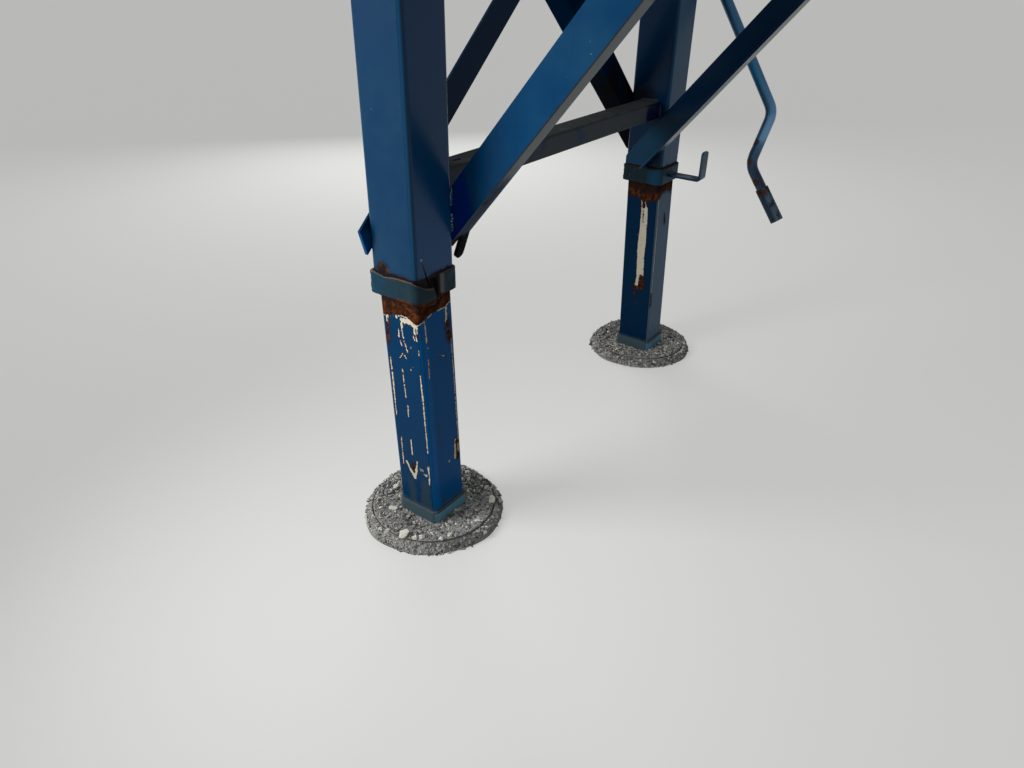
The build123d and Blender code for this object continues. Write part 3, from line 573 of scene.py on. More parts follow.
INNER_LEGS = (
    ("right", -1, SCRATCHES_RIGHT, BROWNED_RIGHT, GRIMED_RIGHT, RUST_LINE_RIGHT),
    ("left", 1, SCRATCHES_LEFT, BROWNED_LEFT, (), RUST_LINE_LEFT),
)
inner_around = way_round(INNER_HALF, INNER_CORNER)
columns = int(inner_around / COLUMN)
rows = int((INNER_TOP - INNER_FOOT) / ROW)
runs = [inner_around * step / columns for step in range(columns)]
inner_section = [round_square(INNER_HALF, INNER_CORNER, run) for run in runs]
across = np.array(runs)
across = np.where(across > inner_around / 2, across - inner_around, across)
across = np.tile(across * MM, rows + 1)
up = np.repeat(np.linspace(INNER_FOOT, INNER_TOP, rows + 1) * MM, columns)
for side, sign, scratches, browned, grimed, rust_line in INNER_LEGS:
    points = []
    for row in range(rows + 1):
        height = INNER_FOOT + (INNER_TOP - INNER_FOOT) * row / rows
        shift = (LEAN_HEIGHT - height) * math.tan(INNER_LEAN)
        points += [(shift + at.x, sign * LEG_AT + at.y, height) for at in inner_section]
    line = np.interp(across, [point[0] for point in rust_line], [point[1] for point in rust_line])
    fields = {
        "worn": stroke_distance(across, up, scratches),
        "browned": stroke_distance(across, up, browned),
        "grimed": stroke_distance(across, up, grimed),
        "over_rust_line": up - line,
    }
    faces = ring_faces(rows + 1, columns)
    finish = inner_leg_finish(side, sign)
    piece = mesh_piece("worn_inner_leg_" + side, points, faces, finish, fields=fields)
    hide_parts("inner_tube_" + side)

# Collars: bands of 6 mm flat bar bent round the upper legs' lower ends and welded at the back. The
# right one is torn through in front: its outboard end has swollen, sagged and pulled away from the
# leg. Both are faded, and rust eats in from their edges.
BAND_HALF = 0.0704
BAND_WALL = 0.0064
BAND_CORNER = 0.0174
BAND_TEAL = (0.013, 0.031, 0.038)
BAND_OLIVE = (0.036, 0.044, 0.032)
BAND_EDGE_BROWN = (0.15, 0.11, 0.08)
BAND_DUSTY = (0.17, 0.16, 0.145)
BAND_BLUE = (0.004, 0.050, 0.095)
TEAR_FROM = 0.0469             # run along the band from its front outboard corner
TEAR_TO = 0.0739
TORN_REACH = 0.064             # how much of the torn end is out of shape
TORN_BULGE = 0.011
TORN_SAG_TOP = 0.021           # how far its upper and its lower edge have come down
TORN_SAG_FOOT = 0.008
FRAY_WHOLE = 0.0008            # raggedness of the whole band, of the torn one and of its very end
FRAY_TORN = 0.0012
FRAY_END = 0.0035
BAND_DENT = 0.005              # a dip of the upper edge on the outboard face
BAND_DENT_BACK = 0.088         # how far that lies behind the front corner
BAND_DENT_REACH = 0.022
SEAM_AT = 0.75                 # share of the way round where the bar's two ends meet, at the back
SEAM_REACH = 0.007
SEAM_PROUD = 0.0035            # how far its ragged weld stands out
BAND_STEP = 0.0022
BAND_EDGE = 0.0012             # rounding of the bar's edges, across and as a share of its height
BAND_EDGE_LEVEL = 0.02
BAND_WAVE = 0.0009
BAND_WAVES = (60.0, 2.0)       # how fast the noise runs, along the bar and up it
SEAM_LUMPS = (200.0, 7.0)
FRAYS = 110.0
NUDGE = 0.0005                 # step along the bar that shows which way it runs
# Where the paint changes, ahead of the band's middle and inboard of it
BACK_OF_BAND = (-0.018, -0.040)
BACK_CORNER = ((-0.055, -0.068), (-0.045, -0.060))
BY_TEAR = ((0.003, 0.005), (0.026, 0.016))
DRIPS_AHEAD = (-0.010, 0.015)
FRONT_OF_BAND = (0.012, 0.036)
band_around = way_round(BAND_HALF, BAND_CORNER)


def waver(height, *place):
    """Smooth noise about zero at a place."""
    return noise.noise(Vector(place)) * height


def hump(gap, reach):
    """1 at a place, falling off on both sides of it."""
    return math.exp(-((gap / reach) ** 2))


def collar_band(sign, start, end, torn):
    """A bent bar as rings of its section, pushed out and down near its torn end."""
    count = int((end - start) / BAND_STEP)
    edge = BAND_EDGE / BAND_WALL
    # Each point of the section is its depth from the inner face and its level, as shares
    profile = [(edge, 0.0), (1 - edge, 0.0), (1.0, BAND_EDGE_LEVEL)]
    profile += [(1.0, tenth / 10) for tenth in range(1, 10)]
    profile += [(1.0, 1 - BAND_EDGE_LEVEL), (1 - edge, 1.0), (edge, 1.0), (0.0, 1 - BAND_EDGE_LEVEL)]
    profile += [(0.0, level) for level in (0.75, 0.5, 0.25, BAND_EDGE_LEVEL)]
    points = []
    for step in range(count + (1 if torn else 0)):
        run = start + (end - start) * step / count
        outer = round_square(BAND_HALF, BAND_CORNER, run % band_around)
        nearby = round_square(BAND_HALF, BAND_CORNER, (run + NUDGE) % band_around)
        tangent = (nearby - outer).normalized()
        normal = Vector((tangent.y, -tangent.x))
        seam = hump(run - SEAM_AT * band_around, SEAM_REACH)
        to_end, dent, frayed = 0.0, 0.0, FRAY_WHOLE
        if torn:
            to_end = max(0.0, 1.0 - (end - run) / TORN_REACH)
            dent = BAND_DENT * hump(band_around - BAND_DENT_BACK - run, BAND_DENT_REACH)
            frayed = FRAY_TORN if to_end < 0.9 else FRAY_END
        swell = math.sin(min(1.0, to_end * 1.1) * math.pi / 2) ** 2
        for depth, level in profile:
            belly = 0.30 + 0.70 * math.sin(math.pi * min(1.0, 0.10 + (1 - level) * 0.75))
            wave = waver(BAND_WAVE, run * BAND_WAVES[0], level * BAND_WAVES[1], 5.0 * sign)
            lumps = 0.5 + waver(1.0, run * SEAM_LUMPS[0], level * SEAM_LUMPS[1], 3.0)
            out = TORN_BULGE * swell * belly + wave + seam * SEAM_PROUD * lumps * depth
            at = outer + normal * (out - (1 - depth) * BAND_WALL)
            sag = TORN_SAG_FOOT + (TORN_SAG_TOP - TORN_SAG_FOOT) * level
            ragged = waver(frayed, run * FRAYS, level, 9.0)
            height = TUBE_FOOT + BAND_HEIGHT * level - sag * swell - dent * level + ragged
            points.append((at.x, sign * LEG_AT + at.y, height))
    return points, ring_faces(len(points) // len(profile), len(profile), not torn)


def collar_finish(side, sign):
    """Teal and olive faded over the blue, with rust that eats in from the bar's edges."""
    # The left collar's colours are dimmed by shade, as painted shade.
    shade, edge_wear = (1.0, 0.8) if sign < 0 else (0.6, 0.35)
    skin = blue_paint("collar_teal_" + side, chalk=0.4, dusty=0.25, chipped=0.5, rough=0.4,
                      shade=shade, gloss=0.15, seed=4.0 * sign)
    skin.lay(skin.cloud(0.03, 4.0 * sign).rise(0.22, 0.48) * 0.9, dimmed(BAND_TEAL, shade), 0.6)
    skin.lay(skin.cloud(0.022, 8.0).rise(0.52, 0.66) * 0.55, dimmed(BAND_OLIVE, shade), 0.75)
    over_middle = skin.height - (TUBE_FOOT + BAND_HEIGHT / 2)
    to_edge = (BAND_HEIGHT / 2 - over_middle.size()) * MM
    ragged = skin.cloud(0.008, 3.0) * 14.0 - 5.0
    skin.rust((to_edge - ragged).rise(1.0, -1.0))
    if sign < 0:
        inboard = skin.side + LEG_AT
        seam = skin.ahead.rise(*BACK_CORNER[0]) * inboard.rise(*BACK_CORNER[1])
        skin.lay(seam * skin.cloud(0.010, 2.0).rise(0.40, 0.60) * 0.8, RUST_DARK, 0.9)
        by_tear = skin.facing(AHEAD, 0.8, 0.95) * inboard.rise(*BY_TEAR[1])
        skin.lay(by_tear * inboard.rise(*BY_TEAR[0]) * 0.8, BAND_DUSTY, 0.8)
        stain = skin.streaks(0.4, 0.012, 14.0).rise(0.52, 0.68)
        skin.lay(stain * (1.0 - by_tear) * 0.55, BAND_BLUE, 0.5)
        skin.lay(skin.ahead.rise(*BACK_OF_BAND) * 0.55, BAND_BLUE, 0.5)
        to_foot = (skin.height - TUBE_FOOT) * MM
        drip = skin.streaks(0.3, 0.007, 17.0, 3.0) * 34.0 - 12.0
        skin.rust((to_foot - drip).rise(1.0, -1.0) * skin.ahead.rise(*DRIPS_AHEAD) * 0.9)
        torn_face = skin.facing(RIGHTWARD, 0.7, 0.9) * inboard.rise(0.0, 0.004)
        skin.lay(torn_face * 0.8, ROAD_DUST, 0.8)
    else:
        skin.lay(skin.ahead.rise(*FRONT_OF_BAND) * 0.85, BAND_BLUE, 0.5)
        under_lip = (to_edge - ragged * 0.5).rise(3.0, 0.0) * over_middle.rise(0.0, 0.01)
        skin.lay(under_lip, SOOT_AND_SHADE, 0.8)
    skin.lay(skin.facing(UP, 0.3, 0.7) * edge_wear, BAND_EDGE_BROWN, 0.9)
    return skin.finished()


COLLARS = (
    ("right", -1, TEAR_TO, band_around + TEAR_FROM, "torn_collar_band_right"),
    ("left", 1, 0.0, band_around, "collar_band_left"),
)
for side, sign, start, end, name in COLLARS:
    points, faces = collar_band(sign, start, end, sign < 0)
    piece = mesh_piece(name, points, faces, collar_finish(side, sign))
    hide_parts("collar_" + side)

# Feet: round pressed dishes, each with a square socket that the inner leg is welded into. Dried mud
# has greyed the socket, and only the dish's thin brown rim shows among the stones.
SHOE_STEEL = (0.060, 0.045, 0.038)
SOCKET_GREY = (0.055, 0.095, 0.115)
SOCKET_FRONT_LIT = (0.120, 0.300, 0.400)
FOOT_AT = LEAN_HEIGHT * math.tan(INNER_LEAN)
SOCKET_WITHIN = (0.0115, 0.0105)        # square of the reach that takes in the socket's corners
DISH_FLOOR = (0.010, 0.012)
SIDES = ("right", "left")
skin = Skin("shoe_scale", SHOE_STEEL, 0.75, 0.3)
skin.lay(skin.blotch.rise(0.4, 0.65), RUST_DARK, 0.85)
skin.rust(skin.cloud(0.03, 1.0).rise(0.5, 0.6) * 0.7)
skin.lay(skin.cloud(0.04, 2.0).rise(0.40, 0.60) * 0.8, ROAD_DUST, 0.9)
ahead = skin.ahead - FOOT_AT
out = skin.side.size() - LEG_AT
socket = (ahead * ahead + out * out).rise(*SOCKET_WITHIN) * skin.height.rise(*DISH_FLOOR)
skin.lay(socket, SOCKET_GREY, 0.6)
# Painted light: the socket's front face is painted a lighter blue.
skin.lay(socket * skin.facing(AHEAD, 0.4, 0.8), SOCKET_FRONT_LIT, 0.6)
skin.lay(socket * skin.cloud(0.02, 6.0).rise(0.50, 0.75) * 0.3, ROAD_DUST, 0.8)
shoe_finish = skin.finished()
for side in SIDES:
    wear("foot_shoe_" + side, shoe_finish)

# Packed gravel: crushed stone and its dust, trodden into the dishes and banked round their rims. It
# is mostly grey fines, with sharp stones of all sizes bedded in it, and it lies lowest at the leg.
SOCKET_HALF = 0.0633
RIM_AT = 0.1590                # middle of what shows of the dish's rim
GRAVEL_SECTION = (
    # radius, height, share of the outline's waves
    (0.060, 0.0170, 0.0),
    (0.084, 0.0165, 0.0),
    (0.100, 0.0175, 0.0),
    (0.116, 0.0200, 0.0),
    (0.132, 0.0230, 0.0),
    (0.146, 0.0258, 0.0),
    (0.1535, 0.0272, 0.0),
    (0.1572, 0.0264, 0.0),
    (0.1586, 0.0230, 0.0),
    (0.1602, 0.0222, 0.0),
    (0.1625, 0.0234, 0.4),
    (0.1650, 0.0214, 0.7),
    (0.1680, 0.0180, 0.9),
    (0.1710, 0.0140, 1.0),
    (0.1738, 0.0100, 1.0),
    (0.1764, 0.0060, 1.0),
    (0.1788, 0.0024, 1.0),
    (0.1796, 0.0000, 1.0),
)
GRAVEL_SPOKES = 240
GRAVEL_WAVE = 0.005
LUMPS = 70                     # large and small lumps of the fines to a metre
FINE_LUMPS = 260
LUMP_HEIGHT = 0.0018
LUMP_ON_BANK = 0.0030          # what the bank adds to the large ones' height
THIN_FINES = 0.004             # height under which the lumps die away
RIM_HALF = 0.003               # half the width that stays calm, along the rim
RIM_CALM = 0.3
RIM_CLEAR = 0.002              # half the width that few stones lie on
RIM_BARE = 0.75
FINES_GREY = (0.350, 0.346, 0.330)
STONE_DARK = (0.120, 0.115, 0.110)
STONE_GREY = (0.45, 0.44, 0.41)
STONE_PALE = (0.80, 0.77, 0.68)
DUST_BROWN = (0.16, 0.125, 0.10)
LEG_SHADOW_PATCH = (FOOT_AT + 0.042, -LEG_AT + 0.110, 0.022)    # painted shadow behind the right leg, black between the stones
STONE_KINDS = 14
STONE_CORNERS = 11
STONE_WIDTHS = (0.6, 0.9)      # as shares of its length
STONE_THICKS = (0.45, 0.75)
STONE_TRIES = 4600             # stones thrown over the whole bed, and then on its bank alone
BANK_TRIES = 1500
BED_FROM = 0.062
BANK_FROM = 0.164
STONES_TO = 0.181
STONE_SMALLEST = 0.0017        # half lengths
STONE_SPREAD = 0.0048
COARSE_STONES = (0.006, 0.010)
COARSE_SHARE = 0.03
STONE_LOWEST = 0.0005          # the least height of a stone's points over the ground
COARSE_SIDE = 2.2              # direction from the right foot, in radians, where they are larger
LEFT_COARSE = 0.3
CROWDED_WITHIN = 0.11
LARGE_SHADE = 0.96
# Larger pale stones round the right foot, in mm from its centre, with their half length
LARGE_STONES = (
    (-67, -85, 12), (-80, -138, 9), (-17, -158, 11), (28, -146, 18), (128, 85, 16), (71, -128, 10),
    (79, -99, 8), (144, 4, 11), (122, -81, 10), (114, -105, 8), (-118, -16, 12),
)


def stone_shape(rng):
    """Hull of a few points on a lopsided ball: a piece of crushed stone."""
    sharp = bmesh.new()
    for count in range(STONE_CORNERS):
        way = Vector((rng.gauss(0, 1), rng.gauss(0, 1), rng.gauss(0, 1))).normalized()
        width = rng.uniform(*STONE_WIDTHS)
        sharp.verts.new(Vector((way.x, way.y * width, way.z * rng.uniform(*STONE_THICKS))))
    bmesh.ops.convex_hull(sharp, input=sharp.verts)
    loose = [vert for vert in sharp.verts if not vert.link_faces]
    bmesh.ops.delete(sharp, geom=loose, context="VERTS")
    sharp.verts.index_update()
    points = [vert.co.copy() for vert in sharp.verts]
    faces = [tuple(vert.index for vert in face.verts) for face in sharp.faces]
    sharp.free()
    return points, faces


def bank_wave(angle):
    """How far the bank's outline swells or shrinks in a direction."""
    return GRAVEL_WAVE * (0.6 * math.sin(3 * angle + 0.6) + 0.4 * math.sin(7 * angle + 2.1))


def packed_height(x, y, sign):
    """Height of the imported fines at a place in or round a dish, from the foot's centre."""
    radii, heights, shares = zip(*GRAVEL_SECTION)
    reach, angle = math.hypot(x, y), math.atan2(y, x)
    share = float(np.interp(reach, radii, shares))
    height = float(np.interp(reach - share * bank_wave(angle), radii, heights))
    rough = waver(LUMP_HEIGHT + LUMP_ON_BANK * share, x * LUMPS, y * LUMPS, sign)
    rough += waver(LUMP_HEIGHT, x * FINE_LUMPS, y * FINE_LUMPS, sign)
    calm = RIM_CALM if abs(reach - RIM_AT) < RIM_HALF else 1.0
    return max(0.0, height + rough * calm * min(1.0, height / THIN_FINES))


def packed_bed(sign):
    """Fines in the dish and the bank round it, as rings about the leg."""
    points = []
    for reach, height, share in GRAVEL_SECTION:
        for spoke in range(GRAVEL_SPOKES):
            angle = 2 * math.pi * spoke / GRAVEL_SPOKES
            at = reach + share * bank_wave(angle)
            x, y = at * math.cos(angle), at * math.sin(angle)
            level = packed_height(x, y, sign) if height else 0.0
            points.append((FOOT_AT + x, sign * LEG_AT + y, level))
    return points, ring_faces(len(GRAVEL_SECTION), GRAVEL_SPOKES)


def scattered_stones(sign, rng):
    """Place, half length and shade of each loose stone, coarser towards one side of the right foot."""
    stones = []
    for count in range(STONE_TRIES + BANK_TRIES):
        angle = rng.uniform(0, 2 * math.pi)
        nearest = BED_FROM if count < STONE_TRIES else BANK_FROM
        reach = math.sqrt(rng.uniform(nearest ** 2, STONES_TO ** 2))
        coarse = max(0.0, math.cos(angle - COARSE_SIDE)) if sign < 0 else LEFT_COARSE
        kept = 0.6 + 0.4 * coarse + 0.2 * (reach < CROWDED_WITHIN)
        if rng.random() > kept:
            continue
        size = STONE_SMALLEST + STONE_SPREAD * rng.random() ** 2.0 * (0.8 + 0.7 * coarse)
        if rng.random() < COARSE_SHARE:
            size = rng.uniform(*COARSE_STONES)
        if abs(reach - RIM_AT) < RIM_CLEAR + size * 0.5 and rng.random() < RIM_BARE:
            continue
        shade = min(0.95, max(0.08, rng.gauss(0.50, 0.24 + 0.12 * coarse)))
        stones.append((reach * math.cos(angle), reach * math.sin(angle), size, shade))
    return stones


def gravel_bed(side, sign, rng, shapes):
    """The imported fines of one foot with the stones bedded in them, as one piece."""
    points, faces = packed_bed(sign)
    shades = [0.0] * len(points)
    large = LARGE_STONES if sign < 0 else ()
    stones = [(x / MM, y / MM, half / MM, LARGE_SHADE) for x, y, half in large]
    for x, y, size, shade in stones + scattered_stones(sign, rng):
        if max(abs(x), abs(y)) < SOCKET_HALF + size * 0.6:
            continue
        shape_points, shape_faces = shapes[rng.randrange(STONE_KINDS)]
        turn = Matrix.Rotation(rng.uniform(0, 6.28), 3, "Z")
        turn = turn @ Matrix.Rotation(rng.uniform(-0.5, 0.5), 3, "X")
        first = len(points)
        bedded = packed_height(x, y, sign) + size * rng.uniform(0.0, 0.45)
        centre = Vector((FOOT_AT + x, sign * LEG_AT + y, bedded))
        for point in shape_points:
            at = centre + turn @ (point * size)
            points.append((at.x, at.y, max(STONE_LOWEST, at.z)))
            shades.append(shade)
        faces += [tuple(first + index for index in face) for face in shape_faces]
    name = "gravel_in_shoe_" + side
    piece = mesh_piece(name, points, faces, gravel_finish, False, {"shade": shades})
    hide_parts("packed_gravel_" + side)


skin = Skin("crushed_stone", FINES_GREY, 0.95, 0.15)
shade = skin.marked("shade")
grit = skin.cloud(0.0019)
speck = skin.cloud(0.0045, 2.0, 3.0)
skin.lay(grit.rise(0.50, 0.36) * 0.8, STONE_DARK, 0.95)
skin.lay(speck.rise(0.60, 0.68) * 0.7, STONE_GREY, 0.9)
# Painted shadow behind the right leg: the fines go black between the stones.
painted_light_mask = skin.spot(LEG_SHADOW_PATCH, 0.070, 0.8)
skin.lay(painted_light_mask * speck.rise(0.53, 0.45) * 0.8, SOOT_AND_SHADE, 0.95)
stone = shade.rise(0.01, 0.05)
ramp = shade + (grit - 0.5) * 0.35
skin.lay(stone, STONE_DARK, 0.9)
skin.lay(stone * ramp.rise(0.22, 0.55), STONE_GREY, 0.85)
skin.lay(stone * ramp.rise(0.62, 0.92), STONE_PALE, 0.85)
skin.lay(skin.cloud(0.05, 5.0, 3.0).rise(0.52, 0.72) * 0.35, DUST_BROWN, 0.9)
skin.relief = (grit - 0.5) * 1.4 + (speck - 0.5) * 1.2
gravel_finish = skin.finished()
chance = random.Random(41)
stone_shapes = [stone_shape(chance) for kind in range(STONE_KINDS)]
gravel_bed("right", -1, chance, stone_shapes)
gravel_bed("left", 1, chance, stone_shapes)

# Drag braces: angle irons from each leg forward and up. The right one's flange is torn off low down
# and hangs by a strip, painted black as shade. Their undersides are painted pale as light from the
# ground, and navy as shade lower down.
FLANGE_LIT_GREY = (0.330, 0.350, 0.360)
FLANGE_SHADE_NAVY = (0.006, 0.022, 0.050)
FLANGE_LIT_PALE = (0.740, 0.740, 0.750)
BRACE_LOWER_LIT = (0.012, 0.058, 0.110)
TORN_STRIP_SHADE = (0.004, 0.004, 0.005)
BRACE_SHADOW_NAVY = (0.0001, 0.018, 0.190)
BRACE_SPOT = ((0.142, -LEG_AT + 0.0792, 0.822), 0.008)
UNDERSIDE = (0.64, 0.0, -0.77) # square to the braces' slope
# Where the painted light and shade change: ahead of the right leg, up and inboard of it, and up the left
# brace
LEG_SHADOW_AHEAD = (0.135, 0.105)
LEG_SHADOW_LEVEL = 0.80
FLANGE_LIT_ABOVE = (0.86, 0.92)
SHADE_BELOW = (0.90, 0.85)
HEEL_SHADE_INBOARD = (0.076, 0.070)
STRIP_INBOARD = (0.066, 0.074)
STRIP_BELOW = (0.742, 0.728)
PALE_ABOVE = (0.78, 1.02)
LIT_BELOW = (0.88, 0.74)
EASED = 0.0014                 # width of a rolled edge's rounding, and of a cut plate's
PLATE_EASED = 0.0010
WELDED_WITHIN = 0.00002        # the solids' facets share their points from here on


def ease_edges(name, width=EASED):
    """Take the sharpness off a piece's edges, as rolling and paint do."""
    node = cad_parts[name]
    node.modifiers.new("joined", "WELD").merge_threshold = WELDED_WITHIN
    eased = node.modifiers.new("eased", "BEVEL")
    eased.width = width
    eased.segments = 2
    eased.limit_method = "ANGLE"
    eased.angle_limit = math.radians(40.0)
    eased.use_clamp_overlap = True


for side in SIDES:
    ease_edges("drag_brace_" + side)
# The right brace's coat is brightened by a shade above 1, as painted light.
skin = blue_paint("drag_blue_right", chalk=0.40, dusty=0.0, shade=1.4, gloss=0.12, seed=21.0)
inboard = skin.side + LEG_AT
under = skin.facing(UNDERSIDE, 0.75, 0.92)
# Painted shadow of the leg on the web beside it.
leg_shadow = (skin.ahead + (skin.height - LEG_SHADOW_LEVEL) * 0.25).rise(*LEG_SHADOW_AHEAD)
skin.lay(leg_shadow * (1.0 - under) * 0.9, BRACE_SHADOW_NAVY, 0.3)
# Painted light from the ground: the flange's underside pale grey in streaks higher up; painted shade in
# navy lower down and along the heel.
streaky_height = skin.height + (skin.cloud(0.05, 26.0) - 0.5) * 0.06
skin.lay(under * streaky_height.rise(*FLANGE_LIT_ABOVE), FLANGE_LIT_GREY, 0.8)
skin.lay(under * streaky_height.rise(*SHADE_BELOW) * 0.9, FLANGE_SHADE_NAVY, 0.7)
skin.lay(under * inboard.rise(*HEEL_SHADE_INBOARD) * 0.9, FLANGE_SHADE_NAVY, 0.6)
# Painted shade: the torn strip below is painted black.
skin.lay(skin.height.rise(*STRIP_BELOW) * inboard.rise(*STRIP_INBOARD), TORN_STRIP_SHADE, 0.9)
skin.rust(skin.spot(*BRACE_SPOT), 0.2)
wear("drag_brace_right", skin.finished())
# The left brace's coat is dimmed by shade, as painted shade.
skin = blue_paint("drag_blue_left", chalk=0.15, dusty=0.0, shade=0.45, gloss=0.12, seed=25.0)
# Painted light: the underside pale in patches, and the web's lower part lighter where it faces right.
under = skin.facing(UNDERSIDE, 0.75, 0.92)
lit_patches = (skin.cloud(0.05, 30.0) + 0.5).rise(0.35, 0.75)
skin.lay(under * skin.height.rise(*PALE_ABOVE) * lit_patches, FLANGE_LIT_PALE, 0.8)
skin.lay(skin.facing(RIGHTWARD, 0.6, 0.9) * skin.height.rise(*LIT_BELOW) * 0.8, BRACE_LOWER_LIT, 0.5)
wear("drag_brace_left", skin.finished())

# Sway braces: angle irons welded across the legs' backs, meeting at the apex plate in the middle.
# They sit in the trailer's shade, painted in by dimming their paint; the right one's tip is painted
# lighter as painted light, and the left one goes dark brown towards its foot, partly grime and
# partly painted shade.
SWAY_GRIME_AND_SHADE = (0.010, 0.0085, 0.0075)
SWAY_TIP_LIT = (0.780, 0.745)
DARKER_BELOW = 1.02
skin = blue_paint("sway_blue_right", chalk=0.1, dusty=0.0, shade=0.55, gloss=0.08, rough=0.4, seed=31.0)
# Painted light: the right brace's lower tip is painted a brighter blue.
skin.lay(skin.height.rise(*SWAY_TIP_LIT) * 0.8, BLUE_PAINTED_LIGHT, 0.4)
wear("sway_brace_right", skin.finished())
skin = blue_paint("sway_blue_left", chalk=0.0, dusty=-0.2, shade=0.45, gloss=0.0, rough=0.5, seed=35.0)
# Darker brown towards the foot: partly grime, partly painted shade.
grime_and_shade = (skin.cloud(0.06, 3.0) + (DARKER_BELOW - skin.height) * 1.6).rise(0.45, 0.75)
skin.lay(grime_and_shade * 0.9, SWAY_GRIME_AND_SHADE, 0.8)
wear("sway_brace_left", skin.finished())
for side in SIDES:
    ease_edges("sway_brace_" + side)

# Cross member: a rectangular tube welded between the legs. Spray from the road has buried its paint
# under grey-brown dirt, scraped here and there; by the left leg its front is dark navy.
MEMBER_DIRT = (0.082, 0.094, 0.102)
MEMBER_TOP_DUST = (0.046, 0.050, 0.052)
MEMBER_SCRAPED = (0.19, 0.17, 0.14)
MEMBER_NAVY = (0.004, 0.006, 0.050)
NAVY_FROM = (0.425, 0.445)     # how far out from the middle
skin = blue_paint("member_grime", chalk=0.2, dusty=0.4, gloss=0.12, rough=0.4, seed=41.0)
skin.lay(skin.cloud(0.08, 2.0, 5.0).rise(0.26, 0.50) * 0.94, MEMBER_DIRT, 0.8)
skin.lay(skin.facing(UP, 0.5, 0.9) * skin.blotch.rise(0.25, 0.5) * 0.85, MEMBER_TOP_DUST, 0.9)
scrapes = skin.streaks(0.35, 0.014, 8.0).rise(0.66, 0.73)
skin.lay(scrapes * 0.6, MEMBER_SCRAPED, 0.85)
near_leg = (skin.side + (skin.blotch - 0.5) * 0.05).rise(*NAVY_FROM)
skin.lay(near_leg * skin.facing(AHEAD, 0.3, 0.7), MEMBER_NAVY, 0.5)
wear("cross_member", skin.finished())
ease_edges("cross_member")

# Upper works: the caps that close the legs, the wing plates that the trailer's frame bolts to, the
# bosses of the shafts and the apex plate, all cut from plate, welded on and painted with the legs.
skin = blue_paint("upper_blue", chalk=0.4, dusty=0.35, seed=51.0)
bolt_line = skin.cloud(0.035, 4.0).rise(0.58, 0.68)
for outward in ((0.0, 1.0, 0.0), RIGHTWARD):
    skin.rust(bolt_line * skin.facing(outward, 0.5, 0.9) * 0.6)
upper_finish = skin.finished()
wear("apex_gusset", upper_finish)
ease_edges("apex_gusset", PLATE_EASED)
for node in ("top_cap", "mount_plate", "shaft_boss"):
    for side in SIDES:
        wear(node + "_" + side, upper_finish)
        ease_edges(node + "_" + side, PLATE_EASED)

# Gear cover and bearing cap: pressed steel, the cover holding the bevel gears' grease on the left
# leg and the cap closing the shaft's bearing on the right. Hexagon bolts hold them, and each has a
# grease nipple.
COVER_FACE = 0.6982            # outer faces of the cover and the cap, out from the middle
CAP_FACE = 0.6622
SHAFT_HEIGHT = 1.364
INPUT_HEIGHT = 1.322
GREASE_SPOT = ((0.0, COVER_FACE, INPUT_HEIGHT - 0.020), 0.034)
# Places on those faces, as ahead and up
COVER_BOLTS = ((-0.036, 1.374), (0.036, 1.374), (-0.036, 1.268), (0.036, 1.268))
COVER_NIPPLE = (0.0, 1.374)
CAP_BOLTS = ((0.019, SHAFT_HEIGHT + 0.011), (-0.019, SHAFT_HEIGHT + 0.011), (0.0, SHAFT_HEIGHT - 0.022))
CAP_NIPPLE = (0.0, SHAFT_HEIGHT + 0.002)
# Outlines, as radius and height over the face
BOLT_CORNER = 0.0065 / math.cos(math.pi / 6)
BOLT_OUTLINE = (
    (BOLT_CORNER, 0.001), (BOLT_CORNER, 0.0052), (BOLT_CORNER - 0.0011, 0.0061), (0.002, 0.0061),
)
WASHER_OUTLINE = ((0.0088, -0.001), (0.0088, 0.0012), (0.0082, 0.0018), (0.002, 0.0018))
NIPPLE_OUTLINE = (
    (0.00546, -0.001), (0.00546, 0.004), (0.00294, 0.0046), (0.00294, 0.008),
    (0.0042, 0.0095), (0.00378, 0.0115), (0.00147, 0.0125),
)
TURNED_STEPS = 16
skin = blue_paint("cover_blue", chalk=0.45, dusty=0.2, chipped=0.2, seed=55.0)
skin.lay(skin.spot(*GREASE_SPOT, 0.8) * 0.6, SOOT_AND_SHADE, 0.35)
cover_finish = skin.finished()
wear("gear_cover", cover_finish)
wear("bearing_cap", cover_finish)


def turned(x, z, face, out, outline, sides):
    """Rings of a turned or hexagon piece that stands out from a face."""
    points = []
    for radius, height in outline:
        for step in range(sides):
            angle = 2 * math.pi * (step + 0.5) / sides
            points.append((x + radius * math.cos(angle), face + out * height, z + radius * math.sin(angle)))
    return points


def fastened(name, bolts, nipple, face, out):
    """Bolt heads on washers, and a grease nipple, joined as one piece."""
    points, faces = [], []
    made = [(x, z, WASHER_OUTLINE, TURNED_STEPS) for x, z in bolts]
    made += [(x, z, BOLT_OUTLINE, 6) for x, z in bolts]
    made.append((*nipple, NIPPLE_OUTLINE, TURNED_STEPS))
    for x, z, outline, sides in made:
        first = len(points)
        points += turned(x, z, face, out, outline, sides)
        faces += ring_faces(len(outline), sides, first=first)
    mesh_piece(name, points, faces, cover_finish, smooth=False)


fastened("gear_cover_bolts", COVER_BOLTS, COVER_NIPPLE, COVER_FACE, 1)
fastened("bearing_cap_bolts", CAP_BOLTS, CAP_NIPPLE, -CAP_FACE, -1)

